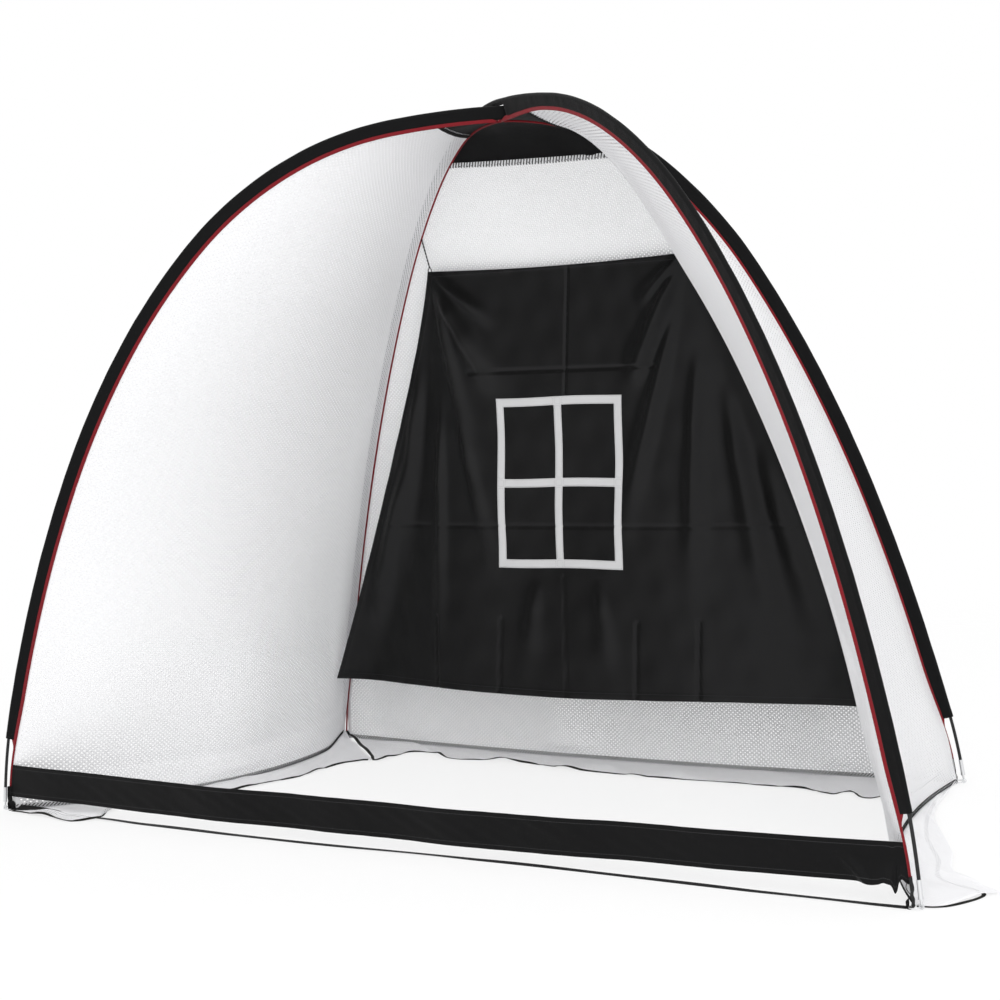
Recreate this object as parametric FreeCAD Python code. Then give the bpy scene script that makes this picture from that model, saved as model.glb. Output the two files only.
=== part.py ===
"""Pitching target net: two long poles cross at the top of a small three-sided tent of white netting,
a black target sheet hangs inside from the rear seams, and a low black band stops balls at the front.

Millimetres. X is to the right seen from the thrower, Y runs away from the thrower, Z is up.
The pieces are first laid out from the middle of the line between the two front feet, and at the
end everything is moved so that the origin is under the middle of the whole net, on the ground.
"""
import FreeCAD, Part
import math
import os

V = FreeCAD.Vector
UP = V(0, 0, 1)
os.makedirs("parts", exist_ok=True)

# Overall size
FRONT_SPAN = 3050.0
REAR_SPAN = 2320.0
DEPTH = 1300.0
APEX_BACK = 735.0
APEX_HEIGHT = 2085.0

# Line of the bent poles: front halves and rear halves have their own roundness
FRONT_POWER = 2.625
FRONT_ROOT = 0.732
REAR_POWER = 2.277
REAR_ROOT = 0.849
FRONT_SWAY = 58.0
HALF_SPANS = 4
HEADING_STEP = 0.001
NUDGE = 0.001
SHORTEST_ARC = 0.3

# Fibreglass pole sections and the steel tubes that join them
POLE_RADIUS = 4.75
POLE_WALL = 2.0
SECTIONS = 8
SLIP = 0.15
FERRULE_LENGTH = 70.0
FERRULE_WALL = 0.9
END_FERRULE_LENGTH = 44.0
END_FERRULE_OVERLAP = 22.0
END_FERRULE_WALL = 1.1
MOUTH_DISTANCE = 28.0

# Sleeves and piping
SLEEVE_RADIUS = 8.4
TUNNEL_RADIUS = 7.0
FLAP_EDGE = 1.2
FRONT_SLEEVE_END = 230.0
REAR_SLEEVE_END = 204.0
PIPING_INSET = 36.0
PIPING_FOOT_INSET = 20.0
PIPING_RADIUS = 2.4
PIPING_FOOT = 78.0
TAPER_LENGTH = 300.0
FLAP_TURN = 25.8
CROSSING_FLAP = 12.0
CROSSING_REACH = 30.0
CROSSING_RUN_OUT = 20.0
PIPING_START = 11.4
KNOT_RADIUS = 10.0
KNOT_HEIGHT = 8.0
KNOT_ROUNDING = 1.5
CLEAR = 0.3
FLAP_GAP = 0.5
STATION_SAG = 0.4
STATION_APART = 1.0
LAYER_GAP = 0.2
SLEEVE_OUTER_MARKS = 5
SLEEVE_INNER_MARKS = 9
PIPING_SIDES = 8

# Netting and the black cloth patches at the top
NET_THICKNESS = 1.2
NET_GAP = 3.5
NET_FOOT_GAP = 26.0
NET_FOOT = 140.0
LEVEL_STEP = 85.0
PATCH_TOP = 26.0
SIDE_PATCH_FRONT = 175.0
SIDE_PATCH_REAR = 230.0
BACK_PATCH = 410.0
SIDE_SAG = 105.0
LEFT_FOOT_SAG = 270.0
RIGHT_FOOT_SAG = 100.0
BACK_SAG = 12.0
BACK_FOOT_SAG = 50.0
SAG_START = 0.4
FOOT_SAG_START = 0.55
FOOT_SAG_ABOVE = 0.8

# Pin, ring and webbing loop at each foot
PIN_RADIUS = 4.0
PIN_LENGTH = 20.0
COLLAR_RADIUS = 6.4
COLLAR_THICKNESS = 3.0
NECK_RADIUS = 3.0
NECK_ABOVE_HOLE = 1.0
EYE_RADIUS = 7.0
EYE_HOLE = 3.5
EYE_THICKNESS = 3.0
RING_RADIUS = 16.0
RING_WIRE = 1.5
WEBBING_THICKNESS = 1.5
WEBBING_WIDTH = 20.0
LOOP_START = 20.5
LOOP_END = 36.0
LOOP_SHOULDER = 19.0
LOOP_TOP = 27.0
LOOP_SLANT = 7.0
WEBBING_BEND = 42.0

# Target sheet
SHEET_TOP = 1628.0
SHEET_BOTTOM = 260.0
SHEET_TOP_LEFT = -497.0
SHEET_TOP_RIGHT = 437.0
SHEET_BOTTOM_LEFT = -999.0
SHEET_BOTTOM_RIGHT = 982.0
SHEET_LEFT_BEND = 1.2
SHEET_RIGHT_BEND = 0.75
SHEET_THICKNESS = 1.0
SHEET_BULGE = 90.0
SHEET_LEVELS = 9
FLAT_TOP = 420.0
FLAT_BOTTOM = 290.0
FOLDS = 4
FOLD_DEPTH = 13.0
FOLD_START = 1.5
HOLE_DEPTH = 8.0
HOLE_INSET = 9.0
HOLE_RADIUS = 4.0
DRILL_REACH = 30.0

# Cords that tie the sheet to the rear piping
TIE_FROM_APEX = 743.0
TIE_RADIUS = 1.5
TIE_LOOP = 9.0
TIE_KNOT = 3.5
TIE_KNOT_OUT = 8.8

# Strike zone frame sewn on the sheet
ZONE_WIDTH = 459.0
ZONE_HEIGHT = 542.0
ZONE_TAPE = 27.0
ZONE_TAPE_THICKNESS = 0.8
ZONE_MIDDLE = 938.0
ZONE_SHIFT = -22.0

# Front band and ground strap
BAND_LEFT_LOW = 44.0
BAND_RIGHT_LOW = 58.0
BAND_HEIGHT = 100.0
BAND_THICKNESS = 1.2
BAND_DIP = 16.0
BAND_WAVE = 6.0
BAND_WAVES = 3.0
BAND_STATIONS = 19
STRAP_WANDER = 12.0
STRAP_STATIONS = 41
STRAP_LIFT = 2.1
STRAP_LIFT_END = 0.13
STRAP_FALL = 0.05

# Skirts that lie on the ground and their bound hems
SKIRT_THICKNESS = 1.2
SKIRT_UNDER_NET = 3.0
SKIRT_CORNER = 5.0
HEM_WIDTH = 10.0
HEM_THICKNESS = 1.8
RIGHT_SKIRT_BASE = 1.9
LEFT_HEM = [
    (-1478, -20), (-1380, -44), (-1289, -62), (-1180, -86), (-1140, -40), (-1218, 173), (-1060, 360),
    (-976, 477), (-932, 600), (-896, 705), (-892, 848), (-871, 945), (-802, 984),
]
BACK_HEM = [
    (-788, 986), (-774, 1060), (-760, 1146), (-697, 1164), (-573, 1102), (-383, 1130), (-45, 1080), (193, 1067),
    (559, 1072), (740, 1069), (850, 1034), (880, 1076), (959, 1016), (1040, 1050), (1096, 1150),
]
RIGHT_HEM = [
    (1506, 20), (1540, 24), (1604, 104), (1617, 172), (1560, 214), (1490, 250), (1400, 440), (1290, 650),
    (1215, 850), (1165, 1040),
]
RIGHT_SKIRT_EDGE = [
    (1604, 176), (1645, 190), (1583, 247), (1500, 314), (1409, 521), (1320, 690), (1233, 864),
    (1190, 1000), (1166, 1150),
]


def unit(vector):
    """The vector at length 1."""
    return vector / vector.Length


def turned(vector, axis, degrees):
    """The vector turned about an axis through the origin."""
    return FreeCAD.Rotation(axis, degrees).multVec(vector)


def smooth(value):
    """A step from 0 to 1 with level ends."""
    share = min(max(value, 0.0), 1.0)
    return share * share * (3 - 2 * share)


def spread(start, end, count):
    """Evenly spaced values from start to end, both included."""
    return [start + (end - start) * index / (count - 1) for index in range(count)]


def wire(*curves):
    """One wire from curves in order."""
    return Part.Wire([item.toShape() for item in curves])


def polygon(points):
    """A closed wire of straight lines."""
    return Part.makePolygon(list(points) + [points[0]])


def spline(points):
    """A smooth edge through the points."""
    line = Part.BSplineCurve()
    line.interpolate(points)
    return line.toShape()


def single(shape):
    """The one solid of a cut or fused shape."""
    return shape.Solids[0]


def disc(centre, axis, radius):
    """A flat round face."""
    return Part.Face(Part.Wire(Part.Circle(centre, axis, radius).toShape()))


class Pole:
    """One pole from a front foot over the apex to the far rear foot.

    Its line is a smooth chain of arcs. side is 1 when it starts at the left front foot and -1 at
    the right front foot.
    """

    def __init__(self, side, height):
        self.side = side
        self.height = height
        self.front = V(-side * FRONT_SPAN / 2, 0, 0)
        self.rear = V(side * REAR_SPAN / 2, DEPTH, 0)
        self.across = UP.cross(unit(self.rear - self.front))
        self.arcs = []
        self.ends = [0.0]
        for half in (-1, 1):
            shares = [math.cos(step * math.pi / 2 / HALF_SPANS) for step in range(HALF_SPANS + 1)]
            shares = [-share for share in shares] if half < 0 else shares[::-1]
            for first, second in zip(shares, shares[1:]):
                self.add_biarc(first, second)
            if half < 0:
                self.apex = self.ends[-1]
        self.length = self.ends[-1]
        self.step = self.length / SECTIONS

    def add_biarc(self, first, second):
        """Two arcs that meet smoothly and follow the formula's direction at both positions."""
        start, end = self.formula(first), self.formula(second)
        way_in, way_out = self.heading(first), self.heading(second)
        chord = end - start
        both = way_in + way_out
        spread_term = 2 * way_in.dot(way_out) - 2
        middle_term = chord.dot(both)
        root = math.sqrt(middle_term ** 2 - spread_term * chord.dot(chord))
        leg = chord.dot(chord) / (middle_term + root)
        first_corner = start + way_in * leg
        second_corner = end - way_out * leg
        joint = (first_corner + second_corner) / 2
        for begin, corner, finish in ((start, first_corner, joint), (joint, second_corner, end)):
            turn = unit(corner - begin).getAngle(unit(finish - corner))
            weight = math.cos(turn / 2)
            crown = (begin + corner * (2 * weight) + finish) / (2 + 2 * weight)
            self.arcs.append(Part.Arc(begin, crown, finish).toShape())
            self.ends.append(self.ends[-1] + self.arcs[-1].Length)

    def heading(self, position):
        """Direction of the formula at a position."""
        low = max(position - HEADING_STEP, -1.0)
        high = min(position + HEADING_STEP, 1.0)
        return unit(self.formula(high) - self.formula(low))

    def formula(self, position):
        """Position -1 is the front foot, 0 the apex and 1 the rear foot. Height follows
        height * (1 - share^power)^root, and each half sways out sideways like half a sine wave."""
        share = abs(position)
        apex = V(0, APEX_BACK, 0)
        forward = position < 0
        span = (self.front if forward else self.rear) - apex
        power, root = (FRONT_POWER, FRONT_ROOT) if forward else (REAR_POWER, REAR_ROOT)
        sway = FRONT_SWAY * span.Length / (self.front - apex).Length
        outward = unit(UP.cross(span))
        if (outward.y > 0) == forward:
            outward = -outward
        plan = apex + span * share + outward * (sway * math.sin(math.pi * share))
        return plan + UP * (self.height * max(1 - share ** power, 0.0) ** root)

    def arc_at(self, run):
        """Number of the arc at a length along the pole."""
        index = 0
        while index < len(self.arcs) - 1 and self.ends[index + 1] < run:
            index += 1
        return index

    def spot(self, run):
        """Point and direction on the chain of arcs at a length along the pole."""
        index = self.arc_at(run)
        arc = self.arcs[index]
        share = (run - self.ends[index]) / arc.Length
        value = arc.FirstParameter + share * (arc.LastParameter - arc.FirstParameter)
        return arc.valueAt(value), unit(arc.tangentAt(value))

    def inward(self, run):
        """The way the sleeve's flap points: into the arch, turned towards the middle at the front."""
        point, direction = self.spot(run)
        flat = unit(self.across.cross(direction))
        if run > self.apex:
            return flat
        return turned(flat, direction, -self.side * FLAP_TURN * (1 - point.z / self.height))

    def inset(self, run):
        """How far inside the pole's middle the piping runs."""
        end = min(run, self.length - run)
        share = smooth((end - PIPING_FOOT) / TAPER_LENGTH)
        base = PIPING_FOOT_INSET + (PIPING_INSET - PIPING_FOOT_INSET) * share
        lift = self.height - APEX_HEIGHT
        return base + lift * (1 - smooth(abs(run - self.apex) / TAPER_LENGTH))

    def flap(self, run):
        """How far the sleeve's flap reaches: the upper pole's is cut away over the lower pole."""
        full = self.inset(run) - PIPING_RADIUS - FLAP_GAP
        if self.side > 0:
            return full
        share = (abs(run - self.apex) - CROSSING_REACH) / CROSSING_RUN_OUT
        return CROSSING_FLAP + (full - CROSSING_FLAP) * min(max(share, 0.0), 1.0)

    def stations(self, start, end):
        """Lengths along the pole that are close where it bends sharply, with the crossing's own ones."""
        found = [start, end]
        for offset in (PIPING_START, CROSSING_REACH, CROSSING_REACH + CROSSING_RUN_OUT):
            found.extend([self.apex - offset, self.apex + offset])
        for arc, low in zip(self.arcs, self.ends):
            steps = math.ceil(arc.Length / math.sqrt(8 * arc.Curve.Radius * STATION_SAG))
            found.extend(low + arc.Length * step / steps for step in range(steps))
        found = sorted(run for run in found if start <= run <= end)
        return [run for before, run in zip([-1.0] + found, found) if run - before > STATION_APART]

    def piping(self, run):
        """Middle of the piping beside the pole."""
        return self.spot(run)[0] + self.inward(run) * self.inset(run)


CROSSING_LIFT = SLEEVE_RADIUS + CROSSING_FLAP + CLEAR
LOW_POLE = Pole(1, APEX_HEIGHT)
HIGH_POLE = Pole(-1, APEX_HEIGHT + CROSSING_LIFT)
POLES = {"a": LOW_POLE, "b": HIGH_POLE}


class Corner:
    """One foot of the tent: its pole, which end it is and the directions there.

    inward is the level direction from the pole to the piping, sideways is level and square to it.
    """

    def __init__(self, pole, front):
        self.pole = pole
        self.front = front
        flap = pole.inward(self.from_foot(PIPING_FOOT))
        self.inward = unit(V(flap.x, flap.y, 0))
        self.sideways = UP.cross(self.inward)

    def from_foot(self, distance):
        """Length along the pole at a distance from this foot."""
        return distance if self.front else self.pole.length - distance

    def from_apex(self, distance):
        """Length along the pole at a distance from the apex on this foot's side."""
        return self.pole.apex - distance if self.front else self.pole.apex + distance

    def reach(self):
        """Length from the apex to this foot."""
        return self.pole.apex if self.front else self.pole.length - self.pole.apex

    def down(self, run):
        """Direction of the pole towards this foot."""
        direction = self.pole.spot(run)[1]
        return -direction if self.front else direction

    def piping_at(self, height):
        """Middle of the piping at a small height above the ground."""
        run = height
        for _ in range(3):
            run += height - self.pole.piping(self.from_foot(run)).z
        return self.pole.piping(self.from_foot(run))

    def place(self, origin, deep, wide, high):
        """A point from an origin in this corner's directions."""
        return origin + self.inward * deep + self.sideways * wide + UP * high


CORNERS = {
    "front_left": Corner(LOW_POLE, True),
    "front_right": Corner(HIGH_POLE, True),
    "rear_left": Corner(HIGH_POLE, False),
    "rear_right": Corner(LOW_POLE, False),
}
nodes = {}


def tube_on(pole, start, end, outer, inner):
    """A tube bent along the pole's line between two lengths, with flat square ends."""
    lumps = []
    for index in range(pole.arc_at(start), pole.arc_at(end) + 1):
        low = max(start, pole.ends[index])
        high = min(end, pole.ends[index + 1])
        if high - low < SHORTEST_ARC:
            continue
        arc = pole.arcs[index]
        centre, axis = arc.Curve.Center, arc.Curve.Axis
        place, heading = pole.spot(low + NUDGE)
        washer = disc(place, heading, outer).cut(disc(place, heading, inner)).Faces[0]
        back = NUDGE / arc.Length * (arc.LastParameter - arc.FirstParameter)
        washer.rotate(centre, axis, -math.degrees(back))
        turn = (high - low) / arc.Length * (arc.LastParameter - arc.FirstParameter)
        lumps.append(washer.revolve(centre, axis, math.degrees(turn)))
    return single(lumps[0].fuse(lumps[1:])) if len(lumps) > 1 else lumps[0]


def pole_pieces():
    """Sections of both poles, the ferrules between them and the open ferrules at the feet."""
    bare = MOUTH_DISTANCE + END_FERRULE_LENGTH - END_FERRULE_OVERLAP
    bore = POLE_RADIUS + SLIP
    half = FERRULE_LENGTH / 2
    for name, pole in POLES.items():
        ends = [bare] + [index * pole.step for index in range(1, SECTIONS)] + [pole.length - bare]
        for index in range(SECTIONS):
            section = tube_on(pole, ends[index], ends[index + 1], POLE_RADIUS, POLE_RADIUS - POLE_WALL)
            nodes[f"pole_{name}_section_{index + 1}"] = section
        joints = [tube_on(pole, run - half, run + half, bore + FERRULE_WALL, bore) for run in ends[1:-1]]
        nodes[f"pole_{name}_ferrules"] = Part.makeCompound(joints)
    for name, corner in CORNERS.items():
        reach = (MOUTH_DISTANCE, MOUTH_DISTANCE + END_FERRULE_LENGTH)
        runs = sorted(corner.from_foot(distance) for distance in reach)
        nodes[f"end_ferrule_{name}"] = tube_on(corner.pole, runs[0], runs[1], bore + END_FERRULE_WALL, bore)


def ring_marks(count, start, end):
    """Pairs of cosine and sine for even steps of an angle in degrees."""
    turns = [math.radians(turn) for turn in spread(start, end, count)]
    return [(math.cos(turn), math.sin(turn)) for turn in turns]


def sleeve_outline(pole, run):
    """Outline of the folded cloth at one place: round the pole and out again in two layers."""
    point, direction = pole.spot(run)
    flap = pole.inward(run)
    side = direction.cross(flap)
    reach = pole.flap(run)
    slit = math.degrees(math.asin(LAYER_GAP / TUNNEL_RADIUS))
    marks = [(reach, FLAP_EDGE)]
    outer = ring_marks(SLEEVE_OUTER_MARKS, 90, 270)
    inner = ring_marks(SLEEVE_INNER_MARKS, 360 - slit, slit)
    marks.extend((SLEEVE_RADIUS * deep, SLEEVE_RADIUS * wide) for deep, wide in outer)
    marks.extend([(reach, -FLAP_EDGE), (reach, -LAYER_GAP)])
    marks.extend((TUNNEL_RADIUS * deep, TUNNEL_RADIUS * wide) for deep, wide in inner)
    marks.append((reach, LAYER_GAP))
    return polygon([point + flap * deep + side * wide for deep, wide in marks])


def sleeve_pieces():
    """A black cloth sleeve along each pole, open at both ends."""
    for name, pole in POLES.items():
        runs = pole.stations(FRONT_SLEEVE_END, pole.length - REAR_SLEEVE_END)
        nodes[f"sleeve_{name}"] = Part.makeLoft([sleeve_outline(pole, run) for run in runs], True, True)


def piping_pieces():
    """Red piping from the knot at the apex down to each corner, and the knot."""
    for name, corner in CORNERS.items():
        pole = corner.pole
        ends = sorted([corner.from_apex(PIPING_START), corner.from_foot(PIPING_FOOT)])
        rings = []
        for run in pole.stations(ends[0], ends[1]):
            flap = pole.inward(run)
            side = pole.spot(run)[1].cross(flap)
            middle = pole.piping(run)
            marks = ring_marks(PIPING_SIDES + 1, 0, 360)[:-1]
            ring = [middle + (flap * deep + side * wide) * PIPING_RADIUS for deep, wide in marks]
            rings.append(polygon(ring))
        nodes[f"piping_{name}"] = Part.makeLoft(rings, True, True)
    top = APEX_HEIGHT - LOW_POLE.flap(LOW_POLE.apex) - CLEAR
    knot = Part.makeCylinder(KNOT_RADIUS, KNOT_HEIGHT, V(0, APEX_BACK, top - KNOT_HEIGHT))
    nodes["apex_knot"] = single(knot.makeFillet(KNOT_ROUNDING, knot.Edges[:1] + knot.Edges[2:]))


def panel_section(start, end, normal, sag, start_gap, end_gap):
    """Closed thin outline between two piping points: an arc that sags along the normal."""
    chord = unit(end - start)
    first = start + chord * start_gap
    last = end - chord * end_gap
    middle = (first + last) / 2 + normal * sag
    shift = normal * (NET_THICKNESS / 2)
    return wire(
        Part.Arc(first - shift, middle - shift, last - shift),
        Part.LineSegment(last - shift, last + shift),
        Part.Arc(last + shift, middle + shift, first + shift),
        Part.LineSegment(first + shift, first - shift),
    )


def level_frame(first, second, distances):
    """Piping points of two corners at distances from the apex, and the panel's inward normal there."""
    runs = [corner.from_apex(distance) for corner, distance in zip((first, second), distances)]
    start, end = [corner.pole.piping(run) for corner, run in zip((first, second), runs)]
    down = first.down(runs[0]) + second.down(runs[1])
    normal = unit((end - start).cross(down))
    inside = V(0, APEX_BACK, APEX_HEIGHT / 2) - start
    return start, end, normal if normal.dot(inside) > 0 else -normal


def level_section(first, second, distances, sag):
    """Outline of a panel between two corners' pipings at distances from the apex."""
    start, end, normal = level_frame(first, second, distances)
    chord = unit(end - start)
    gaps = []
    for corner, distance in zip((first, second), distances):
        gaps.append(NET_GAP / chord.cross(corner.down(corner.from_apex(distance))).Length)
    return panel_section(start, end, normal, sag, gaps[0], gaps[1])


def foot_points(first, second, height):
    """Where the two corners' pipings would meet a low level, and the level inward normal."""
    start, end = [corner.pole.piping(corner.from_foot(0)) for corner in (first, second)]
    start.z = end.z = height
    normal = unit(UP.cross(end - start))
    if normal.dot(V(0, APEX_BACK, 0) - start) < 0:
        normal = -normal
    return start, end, normal


def panel(name, first, second, patch, sag, foot_sag, foot_height):
    """A black patch near the apex and white netting from there to the ground."""
    reach = [first.reach() - NET_FOOT, second.reach() - NET_FOOT]

    def sag_at(distance):
        share = distance / reach[0]
        extra = (foot_sag - sag) * smooth((share - FOOT_SAG_START) / (1 - FOOT_SAG_START))
        return sag * smooth(share / SAG_START) + extra * FOOT_SAG_ABOVE

    def sections(start, end):
        levels = 2 + int((end[0] - start[0]) / LEVEL_STEP)
        found = []
        for share in spread(0.0, 1.0, max(levels, 3)):
            distances = [low + (high - low) * share for low, high in zip(start, end)]
            found.append(level_section(first, second, distances, sag_at(distances[0])))
        return found

    upper = sections([PATCH_TOP, PATCH_TOP], patch)
    nodes[f"patch_{name}"] = Part.makeLoft(upper, True, False)
    lower = sections(patch, reach)
    start, end, normal = foot_points(first, second, foot_height)
    lower.append(panel_section(start, end, normal, foot_sag, NET_FOOT_GAP, NET_FOOT_GAP))
    nodes[f"net_{name}"] = Part.makeLoft(lower, True, True)


def panel_pieces():
    """Left, right and back walls of the tent."""
    front_left, front_right = CORNERS["front_left"], CORNERS["front_right"]
    rear_left, rear_right = CORNERS["rear_left"], CORNERS["rear_right"]
    side = [SIDE_PATCH_FRONT, SIDE_PATCH_REAR]
    right_foot = RIGHT_SKIRT_BASE + SKIRT_THICKNESS
    panel("left", front_left, rear_left, side, SIDE_SAG, LEFT_FOOT_SAG, SKIRT_THICKNESS)
    panel("right", front_right, rear_right, side, SIDE_SAG, RIGHT_FOOT_SAG, right_foot)
    panel("back", rear_left, rear_right, [BACK_PATCH, BACK_PATCH], BACK_SAG, BACK_FOOT_SAG, SKIRT_THICKNESS)


def corner_pieces():
    """Pin with an eye, ring and webbing loop at each foot. Returns the eye centres."""
    eyes = {}
    for name, corner in CORNERS.items():
        run = corner.from_foot(MOUTH_DISTANCE)
        mouth = corner.pole.spot(run)[0]
        down = corner.down(run)
        eye = mouth + down * ((mouth.z - EYE_RADIUS) / -down.z)
        eyes[name] = eye
        low = (eye - mouth).Length
        shank = Part.makeCylinder(PIN_RADIUS, PIN_LENGTH, mouth, -down)
        collar = Part.makeCylinder(COLLAR_RADIUS, COLLAR_THICKNESS, mouth, down)
        neck = Part.makeCylinder(NECK_RADIUS, low - EYE_HOLE - NECK_ABOVE_HOLE, mouth, down)
        plate_foot = eye - corner.sideways * (EYE_THICKNESS / 2)
        plate = Part.makeCylinder(EYE_RADIUS, EYE_THICKNESS, plate_foot, corner.sideways)
        hole_foot = eye - corner.sideways * EYE_RADIUS
        hole = Part.makeCylinder(EYE_HOLE, 2 * EYE_RADIUS, hole_foot, corner.sideways)
        nodes[f"pin_{name}"] = single(shank.fuse([collar, neck, plate]).cut(hole).removeSplitter())

        drop = EYE_RADIUS - WEBBING_THICKNESS - RING_WIRE - CLEAR
        angle = math.asin(drop / (2 * RING_RADIUS))
        out = corner.inward * math.cos(angle) - UP * math.sin(angle)
        axis = out.cross(corner.sideways)
        nodes[f"ring_{name}"] = Part.makeTorus(RING_RADIUS, RING_WIRE, eye + out * RING_RADIUS, axis)
        nodes[f"corner_strap_{name}"] = corner_strap(corner, V(eye.x, eye.y, 0))
    return eyes


def corner_strap(corner, foot):
    """Webbing from the piping's end down to a sewn loop around the ring."""
    piping_run = corner.from_foot(PIPING_FOOT)
    end = corner.pole.piping(piping_run)
    bend = corner.piping_at(WEBBING_BEND)
    low_deep = (bend - foot).dot(corner.inward)
    lean = ((end - foot).dot(corner.inward) - low_deep) / (end.z - bend.z)
    top = end.z + PIPING_RADIUS
    top_deep = low_deep + lean * (top - bend.z)
    thick = WEBBING_THICKNESS
    half = thick / 2
    outline = [
        (top_deep - half, top), (low_deep - half, bend.z), (LOOP_START, LOOP_TOP - thick),
        (LOOP_START, 0), (LOOP_END, 0), (LOOP_END, LOOP_SHOULDER), (LOOP_END - LOOP_SLANT, LOOP_TOP),
        (low_deep + half, bend.z), (top_deep + half, top),
    ]
    inner = [
        (LOOP_START + thick, thick), (LOOP_END - thick, thick),
        (LOOP_END - thick, LOOP_SHOULDER - half), (LOOP_END - LOOP_SLANT - half, LOOP_TOP - thick),
        (LOOP_START + thick, LOOP_TOP - thick),
    ]
    side = -WEBBING_WIDTH / 2
    faces = []
    for points in (outline, inner):
        faces.append(Part.Face(polygon([corner.place(foot, deep, side, high) for deep, high in points])))
    strap = faces[0].cut(faces[1]).Faces[0].extrude(corner.sideways * WEBBING_WIDTH)
    heading = -corner.down(piping_run)
    size = 2 * WEBBING_WIDTH
    block = Part.makeBox(2 * size, 2 * size, size, V(-size, -size, 0))
    block.Placement = FreeCAD.Placement(end, FreeCAD.Rotation(UP, heading)).multiply(block.Placement)
    return single(strap.cut(block))


def tie_knots():
    """Centres of the two knots that lie between the walls at the rear piping and carry the sheet."""
    knots = {}
    for side, other in (("left", "right"), ("right", "left")):
        corner = CORNERS[f"rear_{side}"]
        run = corner.from_apex(TIE_FROM_APEX)
        ways = []
        for name, sag in ((f"rear_{other}", BACK_SAG), (f"front_{side}", SIDE_SAG)):
            far = CORNERS[name]
            distances = [TIE_FROM_APEX, TIE_FROM_APEX * far.reach() / corner.reach()]
            start, end, normal = level_frame(corner, far, distances)
            ways.append(unit(unit(end - start) + normal * (4 * sag / (end - start).Length)))
        inside = ways[0] + ways[1]
        down = corner.down(run)
        inside = unit(inside - down * inside.dot(down))
        knots[side] = corner.pole.piping(run) + inside * TIE_KNOT_OUT
    return knots


KNOTS = tie_knots()
SHEET_BACK = (KNOTS["left"].y + KNOTS["right"].y) / 2


def sheet_edges(share):
    """Left and right edge of the target sheet at a share of its drop."""
    left = SHEET_TOP_LEFT + (SHEET_BOTTOM_LEFT - SHEET_TOP_LEFT) * share ** SHEET_LEFT_BEND
    right = SHEET_TOP_RIGHT + (SHEET_BOTTOM_RIGHT - SHEET_TOP_RIGHT) * share ** SHEET_RIGHT_BEND
    return left, right


def sheet_section(share):
    """Closed outline of the sheet at one height: flat middle and soft folds towards both edges."""
    left, right = sheet_edges(share)
    height = SHEET_TOP + (SHEET_BOTTOM - SHEET_TOP) * share
    flat = FLAT_TOP + (FLAT_BOTTOM - FLAT_TOP) * share
    depth = FOLD_START + (FOLD_DEPTH - FOLD_START) * smooth(share / SAG_START)
    flat_left = ZONE_SHIFT - flat
    flat_right = ZONE_SHIFT + flat

    def line(side):
        """Breakpoints and middles of the arcs from the flat part to an edge."""
        inner, outer = (flat_left, left) if side < 0 else (flat_right, right)
        ends = spread(inner, outer, FOLDS + 1)
        found = []
        for index, (first, second) in enumerate(zip(ends, ends[1:])):
            bend = depth if index % 2 else -depth
            marks = []
            for place, step in ((first, 0.0), ((first + second) / 2, 0.5), (second, 1.0)):
                outward = (index + step) / FOLDS
                bulge = SHEET_BULGE * share * (smooth(outward) - 0.5)
                marks.append(V(place, SHEET_BACK + bulge + (bend if step == 0.5 else 0), height))
            found.append(marks)
        return found

    chain = []
    for marks in reversed(line(-1)):
        chain.append(tuple(reversed(marks)))
    middle = SHEET_BACK - SHEET_BULGE * share / 2
    chain.append((V(flat_left, middle, height), None, V(flat_right, middle, height)))
    chain.extend(tuple(marks) for marks in line(1))
    shift = V(0, SHEET_THICKNESS / 2, 0)
    curves = []
    for first, centre, last in chain:
        if centre is None:
            curves.append(Part.LineSegment(first - shift, last - shift))
        else:
            curves.append(Part.Arc(first - shift, centre - shift, last - shift))
    tip = chain[-1][2]
    curves.append(Part.LineSegment(tip - shift, tip + shift))
    for first, centre, last in reversed(chain):
        if centre is None:
            curves.append(Part.LineSegment(last + shift, first + shift))
        else:
            curves.append(Part.Arc(last + shift, centre + shift, first + shift))
    tail = chain[0][0]
    curves.append(Part.LineSegment(tail + shift, tail - shift))
    return wire(*curves)


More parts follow.
